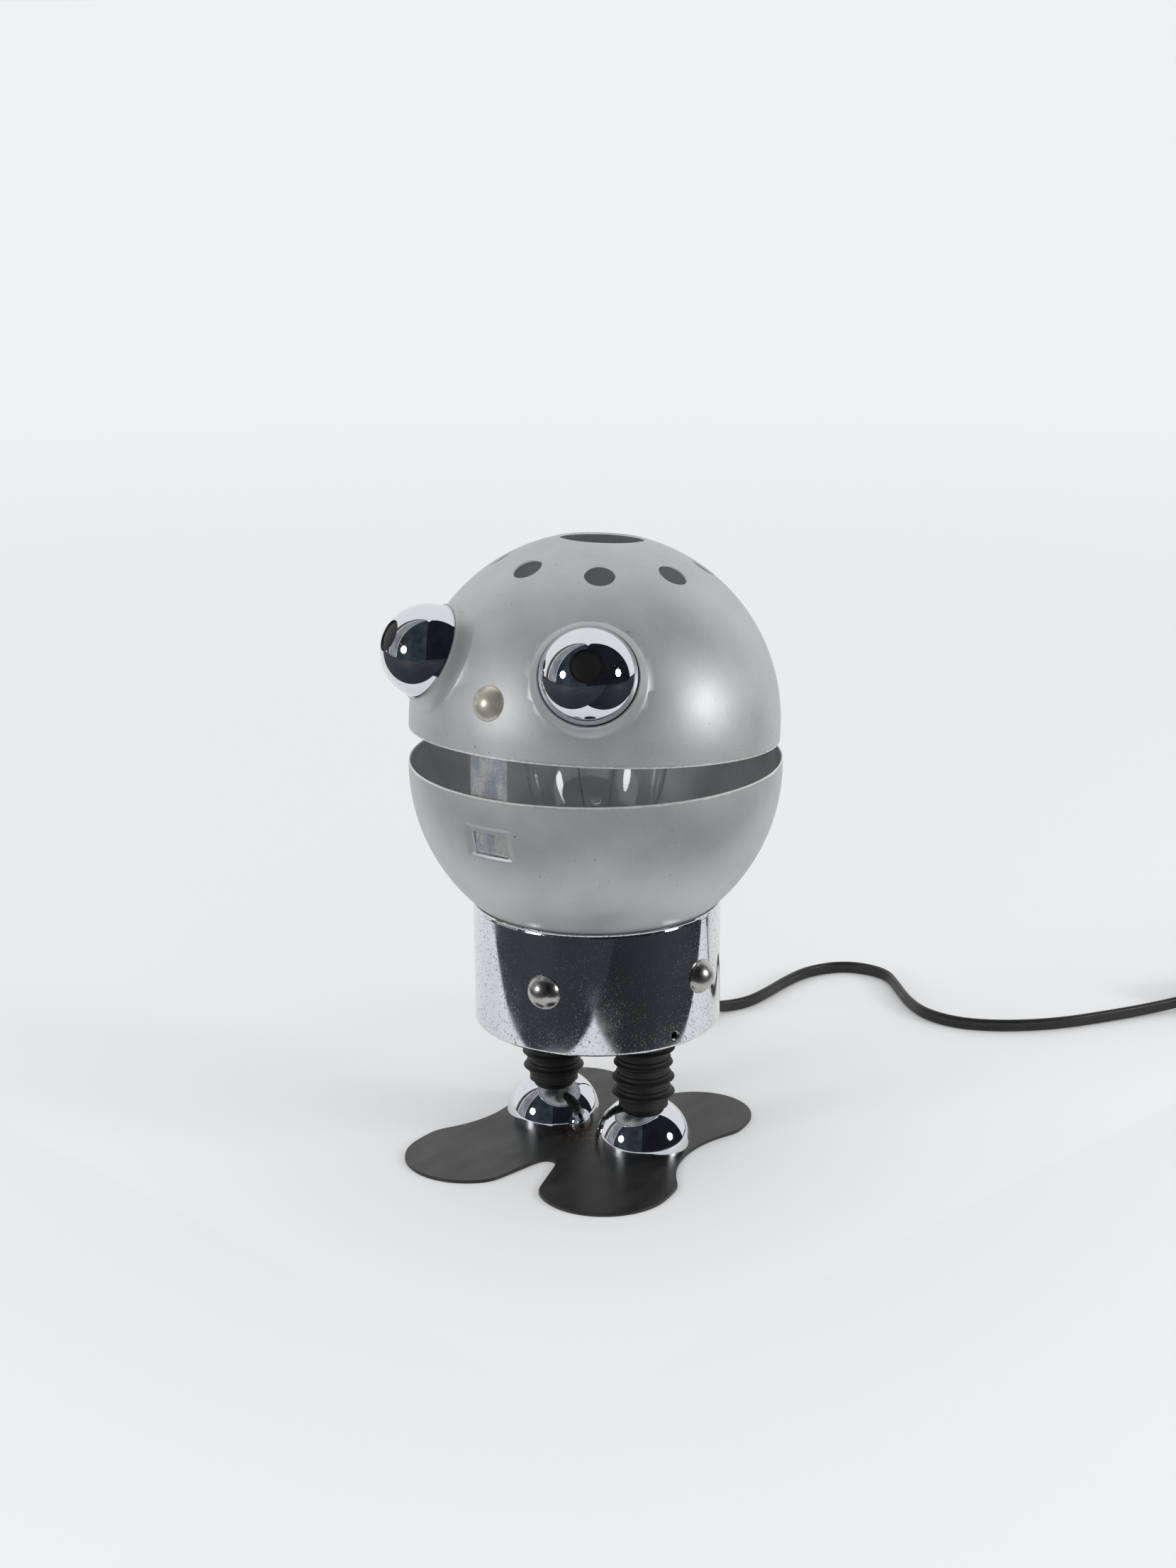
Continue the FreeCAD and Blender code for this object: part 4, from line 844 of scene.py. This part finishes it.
class LAMP_OT_fittings(bpy.types.Operator):
    """Rear hinge, holder and the other metal and moulded pieces: the larger ones as softened copies, the
    small inner ones given their materials in place
    """

    bl_idname = "lamp.fittings"
    bl_label = "Hinge, holder and fittings"

    def execute(self, context):
        zinc = plain_solid("zinc plated steel", "B9BBBC", 0.32, 1.0, 0.6)
        brass = plain_solid("plain brass", "C9A968", 0.3, 1.0, 0.6)
        bakelite = plain_solid("black bakelite", "1B1918", 0.3, 0.0, 0.7)
        ceramic = plain_solid("glazed steatite", "E4E0D6", 0.35)
        cap_metal = plain_solid("pressed aluminium cap", "C6C6C4", 0.35, 1.0)
        tungsten = plain_solid("tungsten wire", "6B6967", 0.4, 1.0)
        vinyl = plain_solid("black vinyl sheath", "1A1A1B", 0.42)
        rubber = plain_solid("black bushing rubber", "161616", 0.6)
        nickel = satin_nickel("nickel plated fittings")
        enamel = silver_lacquer("aluminium lacquer on the hinge", (0, 0, 1), -1.0)
        for node, name, bevel, material, body, slot in (
            ("hinge_leaf_bowl", "hinge_lower_leaf", 0.00015, enamel, "base", "head_lacquer"),
            ("hinge_leaf_dome", "hinge_upper_leaf", 0.00015, enamel, "dome", "head_lacquer"),
            ("hinge_pin", "hinge_steel_pin", 0.0001, nickel, "base", "nickel_plate"),
            ("hinge_rivets_bowl", "lower_leaf_rivets", 0.0, nickel, "base", "nickel_plate"),
            ("hinge_rivets_dome", "upper_leaf_rivets", 0.0, nickel, "dome", "nickel_plate"),
            ("cover_screws", "drum_cover_screws", 0.0001, nickel, "base", "nickel_plate"),
            ("bottom_cover", "drum_bottom_cover", 0.00015, zinc, "base", "zinc_steel"),
            ("leg_rod_left", "leg_core_left", 0.0002, zinc, "base", "zinc_steel"),
            ("leg_rod_right", "leg_core_right", 0.0002, zinc, "base", "zinc_steel"),
            ("socket_cap", "holder_cap", 0.0002, bakelite, "base", "holder_bakelite"),
            ("socket_body", "holder_sleeve", 0.0001, bakelite, "base", "holder_bakelite"),
            ("shade_ring_upper", "holder_ring_upper", 0.0003, bakelite, "base", "holder_bakelite"),
            ("shade_ring_lower", "holder_ring_lower", 0.0003, bakelite, "base", "holder_bakelite"),
            ("screw_shell", "holder_screw_shell", 0.0, brass, "base", "contact_brass"),
            ("bulb_cap", "bulb_screw_cap", 0.0, cap_metal, "base", "bulb_cap_metal"),
            ("cord_bushing", "cord_grommet", 0.0002, rubber, "base", "bellows_rubber"),
        ):
            piece = copied(node, name, bevel)
            finish_piece(piece, material, body, slot, node)
        for material, nodes in (
            (zinc, ("leg_nuts", "stud_clips", "socket_bracket", "socket_nipple", "nipple_nut")),
            (brass, ("centre_contact", "terminal_screws", "bulb_contact")),
            (ceramic, ("socket_core",)),
            (bakelite, ("bulb_insulator",)),
            (tungsten, ("bulb_filament",)),
            (vinyl, ("cord_inside", "socket_leads")),
        ):
            for node in nodes:
                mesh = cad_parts[node].data
                mesh.materials.clear()
                mesh.materials.append(material)
        return {"FINISHED"}


class LAMP_OT_cord(bpy.types.Operator):
    """Flat twin cord with its switch, coil and plug"""

    bl_idname = "lamp.cord"
    bl_label = "Cord, switch and plug"

    def coil(self):
        """Centreline of the switch's far side, the coil and the plug's lead, in mm."""
        start = Vector((152.0, 272.5, 0))
        heading = Vector((0.561, 0.828, 0)).normalized()
        switch, lead, axis_z, low, layer = 52.0, 31.0, 4.5, 2.8, 5.85
        inner_r, pitch, turns, climb, drop = 22.0, 5.5, 3.0, 0.5, 0.25
        cut_back, plug_z = 1.019, 7.0
        points = [start + heading * d + Vector((0, 0, axis_z)) for d in (26.0, switch, switch + 16.0)]
        outer_r = inner_r + pitch * turns
        right = Vector((heading.y, -heading.x, 0))
        end = start + heading * (switch + lead)
        centre = end + right * outer_r
        first = math.atan2(-right.y, -right.x)
        total, steps = 2 * turns + climb, 16
        for k in range(int(total * steps) + 1):
            t = k / steps
            if t <= turns:
                left = max(0.0, 1 - t / drop)
                r, z = outer_r - pitch * t, low + (axis_z - low) * left ** 2 * (3 - 2 * left)
            elif t <= turns + climb:
                share = (t - turns) / climb
                r, z = inner_r, low + layer * (share - math.sin(TURN * share) / TURN)
            else:
                r, z = inner_r + pitch * (t - turns - climb), low + layer
            a = first - TURN * t
            grow = cut_back if 0 < k < int(total * steps) else 1.0
            points.append(centre + Vector((r * grow * math.cos(a), r * grow * math.sin(a), z)))
        a = first - TURN * total
        way = Vector((math.sin(a), -math.cos(a), 0))
        side = Vector((way.y, -way.x, 0))
        fall = Vector((0, 0, points[-1].z - plug_z))
        for ahead, aside, share in ((16.2, 0, 0.4), (11, 4, 0.4), (12, 6, 0.2)):
            points.append(points[-1] + way * ahead - side * aside - fall * share)
        return points

    def section(self):
        """Outline of two round cores side by side, standing on edge."""
        s = sizes()
        r = s.cord_height / 2
        off = s.cord_width / 2 - r
        turns = [math.radians(degrees) for degrees in range(-30, 211, 24)]
        half = [(r * math.cos(a), off + r * math.sin(a)) for a in turns]
        return flat_curve("section", half + [(-x, -y) for x, y in half])

    def execute(self, context):
        points = [Vector(p) for p in CORD_ROUTE] + self.coil()
        data = bpy.data.curves.new("cord_line", "CURVE")
        data.dimensions = "3D"
        data.twist_mode = "Z_UP"
        data.resolution_u = 5
        spline = data.splines.new("NURBS")
        spline.points.add(len(points) - 1)
        for point, place in zip(spline.points, points):
            point.co = (*(place * MM), 1)
        spline.order_u = 3
        spline.use_endpoint_u = True
        line = linked("cord_line", data)
        depsgraph = bpy.context.evaluated_depsgraph_get()
        bare = bpy.data.meshes.new_from_object(line.evaluated_get(depsgraph))
        section = self.section()
        data.bevel_mode = "OBJECT"
        data.bevel_object = section
        data.use_fill_caps = True
        bpy.context.view_layer.update()
        depsgraph = bpy.context.evaluated_depsgraph_get()
        cord = linked("flat_cord", bpy.data.meshes.new_from_object(line.evaluated_get(depsgraph)))
        bpy.data.objects.remove(line)
        bpy.data.objects.remove(section)
        smooth(cord, 50)
        vinyl = plain_solid("black vinyl twin cord", "1A1A1B", 0.4, 0.0, 0.7, 0.012)
        finish_piece(cord, vinyl, "base", "cord_sheath", "cord_run", "cord_coil", "cord_tail")
        plastic = plain_solid("black moulded plastic", "1D1D1E", 0.34, 0.0, 0.6, 0.012)
        steel = plain_solid("switch screw steel", "A9A9A8", 0.3, 1.0)
        brass = plain_solid("brass plug blades", "CDB27A", 0.25, 1.0)
        for node, name, bevel, material, body, slot in (
            ("switch_base", "switch_lower_half", 0.0006, plastic, "base", "switch_plastic"),
            ("switch_cover", "switch_upper_half", 0.0006, plastic, "base", "switch_plastic"),
            ("switch_rocker", "switch_rocker_key", 0.0004, plastic, "rocker", "rocker_plastic"),
            ("switch_screws", "switch_case_screws", 0.0001, steel, "base", "screw_steel"),
            ("plug_body", "plug_moulding", 0.0004, plastic, "base", "switch_plastic"),
            ("plug_blades", "plug_contact_blades", 0.0002, brass, "base", "contact_brass"),
        ):
            piece = copied(node, name, bevel)
            finish_piece(piece, material, body, slot, node)
        return {"FINISHED"}


class LAMP_OT_stage(bpy.types.Operator):
    """Camera, pale floor and soft light"""

    bl_idname = "lamp.stage"
    bl_label = "Camera, floor and light"

    def camera(self):
        """The photograph's viewpoint: 1.17 m away, looking 16 degrees down."""
        away, height = 1.0731, 0.4626
        pitch, yaw, roll = math.radians(16.13), math.radians(-0.171), math.radians(-0.477)
        look = Vector((math.sin(yaw) * math.cos(pitch), math.cos(yaw) * math.cos(pitch), -math.sin(pitch)))
        right = Vector((math.cos(yaw), -math.sin(yaw), 0))
        up = right.cross(look)
        right_rolled = right * math.cos(roll) + up * math.sin(roll)
        up_rolled = up * math.cos(roll) - right * math.sin(roll)
        turn = Matrix.Rotation(FRONT_VIEW, 4, "Z")
        axes = Matrix((right_rolled, up_rolled, -look)).transposed().to_4x4()
        data = bpy.data.cameras.new("camera")
        data.lens = 62.844
        data.sensor_width = 36.0
        camera = linked("camera", data)
        camera.matrix_world = turn @ Matrix.Translation((0, -away, height)) @ axes
        bpy.context.scene.camera = camera

    def floor(self):
        """A pale board with painted shade: its colour is a little darker under and round the lamp."""
        deselect()
        bpy.ops.mesh.primitive_plane_add(size=500, location=(0, 0, 0))
        floor = bpy.context.object
        floor.name = "floor"
        material, add, shader, where = new_material("matt white board")
        away = add(VECTOR_MATH, {"operation": "LENGTH"}, {0: where})
        far = add(RANGE, {"From Min": 0.3, "From Max": 2.2}, {"Value": (away, "Value")})
        base = list(bpy.context.scene.lamp_colours.floor) + [1.0]
        # Painted shade: the floor colour at 0.86 within 0.3 m of the lamp, fading to the full colour by 2.2
        # m
        near = [c * 0.86 for c in base[:3]] + [1.0]
        tint = add(MIX, {"data_type": "RGBA", 6: near, 7: base}, {0: far})
        wire(shader, {"Roughness": 0.75}, {"Base Color": (tint, 2)})
        floor.data.materials.append(material)

    def card(self, card, name, code):
        """Make a stage piece that only mirrors see."""
        card.name = name
        material, add, shader, where = new_material(name + " cloth")
        cloud = add(NOISE, {"Scale": across(700.0), "Detail": 3.0}, {"Vector": where})
        patches = add(RANGE, {"From Min": 0.35, "From Max": 0.65}, {"Value": cloud})
        base = linear(code)
        darker = [c * 0.45 for c in base[:3]] + [1.0]
        tint = add(MIX, {"data_type": "RGBA", 6: base, 7: darker}, {0: patches})
        black = {"Base Color": linear("000000"), "Roughness": 1.0, "Emission Strength": 1.0}
        wire(shader, black, {"Emission Color": (tint, 2)})
        card.data.materials.append(material)
        card.visible_camera = False
        card.visible_diffuse = False
        card.visible_transmission = False
        card.visible_shadow = False

    def dark_room(self):
        """The dark room in front of the lamp and its darker floor, seen only in the polished metal."""
        outline = arc(1.70, 0, 3, 95, 20) + arc(1.69, 0, 95, 3, 20)
        for name, start, end, code in (
            ("room_side", -110, -101, "6B625E"), ("room_edge", -99, -77, "A4A9AE"),
            ("room_left", -76, -4, "3A424C"), ("room_right", -4, 107, "171B22"),
        ):
            wall = spun(name, outline, 24, math.radians(end - start))
            wall.data.transform(Matrix.Rotation(FRONT_VIEW + math.radians(end - 90), 4, "Z"))
            self.card(wall, name, code)
        edge_u, edge_v, far, lift = -0.1725, -0.1584, 2.0, 0.0006
        top = lift + 0.0001
        for name, low, high, code in (
            ("floor_left", (-far, -far, lift), (edge_u, far, top), "3B4047"),
            ("floor_right", (edge_u, -far, lift), (far, edge_v, top), "22262C"),
        ):
            piece = block(low, high)
            piece.data.transform(Matrix.Rotation(FRONT_VIEW + math.radians(45), 4, "Z"))
            self.card(piece, name, code)

    def lamp(self, name, side_degrees, height, away, radius, power):
        """A round soft lamp, aimed at the head."""
        a = FRONT_VIEW + math.radians(side_degrees)
        data = bpy.data.lights.new(name, "AREA")
        data.shape = "DISK"
        data.size = radius * 2
        data.energy = power
        lamp = linked(name, data)
        place = Vector((math.sin(a) * away, -math.cos(a) * away, height))
        aim = Vector((0, 0, 0.15)) - place
        lamp.matrix_world = Matrix.Translation(place) @ aim.to_track_quat("-Z", "Y").to_matrix().to_4x4()

    def sky(self):
        """Even white light all round, seen as pale as the floor."""
        world = bpy.data.worlds.new("studio")
        bpy.context.scene.world = world
        world.use_nodes = True
        world.node_tree.nodes.clear()
        add = partial(add_node, world.node_tree)
        strength, seen_share = bpy.context.scene.lamp_colours.sky_light, 0.85
        rays = add("ShaderNodeLightPath")
        seen = add(MATH, {"operation": "MAXIMUM"}, {0: (rays, "Is Camera Ray"), 1: (rays, "Is Glossy Ray")})
        seen = add(MATH, {"operation": "MAXIMUM"}, {0: seen, 1: (rays, "Is Transmission Ray")})
        level = add(RANGE, {"To Min": strength, "To Max": strength * seen_share}, {"Value": seen})
        background = add("ShaderNodeBackground", {"Color": linear("F3F4F5")}, {"Strength": level})
        add("ShaderNodeOutputWorld", links={"Surface": (background, "Background")})

    def execute(self, context):
        self.camera()
        self.floor()
        self.sky()
        self.dark_room()
        key, height, away, radius = context.scene.lamp_colours.key_light, 0.44, 1.25, 0.15
        self.lamp("lamp_left", -59, height, away, radius, key)
        self.lamp("lamp_right", 71, height, away, radius, key * 1.4)
        context.scene.view_settings.view_transform = "Standard"
        return {"FINISHED"}


OPERATORS = (
    LAMP_OT_stage, LAMP_OT_cord, LAMP_OT_bowl, LAMP_OT_dome, LAMP_OT_eyes, LAMP_OT_nose, LAMP_OT_drum,
    LAMP_OT_legs, LAMP_OT_bulb, LAMP_OT_fittings,
)


class LAMP_PT_panel(bpy.types.Panel):
    """Lists the lamp's building steps"""

    bl_idname = "LAMP_PT_panel"
    bl_label = "Robot desk lamp"
    bl_space_type = "VIEW_3D"
    bl_region_type = "UI"
    bl_category = "Lamp"

    def draw(self, context):
        for step in OPERATORS:
            self.layout.operator(step.bl_idname)


CLASSES = (LampSizes, LampColours) + OPERATORS + (LAMP_PT_panel,)


def register():
    """Make the classes and the settings known to Blender."""
    for cls in CLASSES:
        bpy.utils.register_class(cls)
    bpy.types.Scene.lamp_sizes = PointerProperty(type=LampSizes)
    bpy.types.Scene.lamp_colours = PointerProperty(type=LampColours)


def unregister():
    """Take away what register added."""
    del bpy.types.Scene.lamp_colours
    del bpy.types.Scene.lamp_sizes
    for cls in reversed(CLASSES):
        bpy.utils.unregister_class(cls)


def main():
    """Build the lamp and its stage."""
    register()
    bpy.ops.lamp.stage()
    bpy.ops.lamp.cord()
    bpy.ops.lamp.bowl()
    bpy.ops.lamp.dome()
    bpy.ops.lamp.eyes()
    bpy.ops.lamp.nose()
    bpy.ops.lamp.drum()
    bpy.ops.lamp.legs()
    bpy.ops.lamp.bulb()
    bpy.ops.lamp.fittings()
    deselect()


if __name__ == "__main__":
    main()
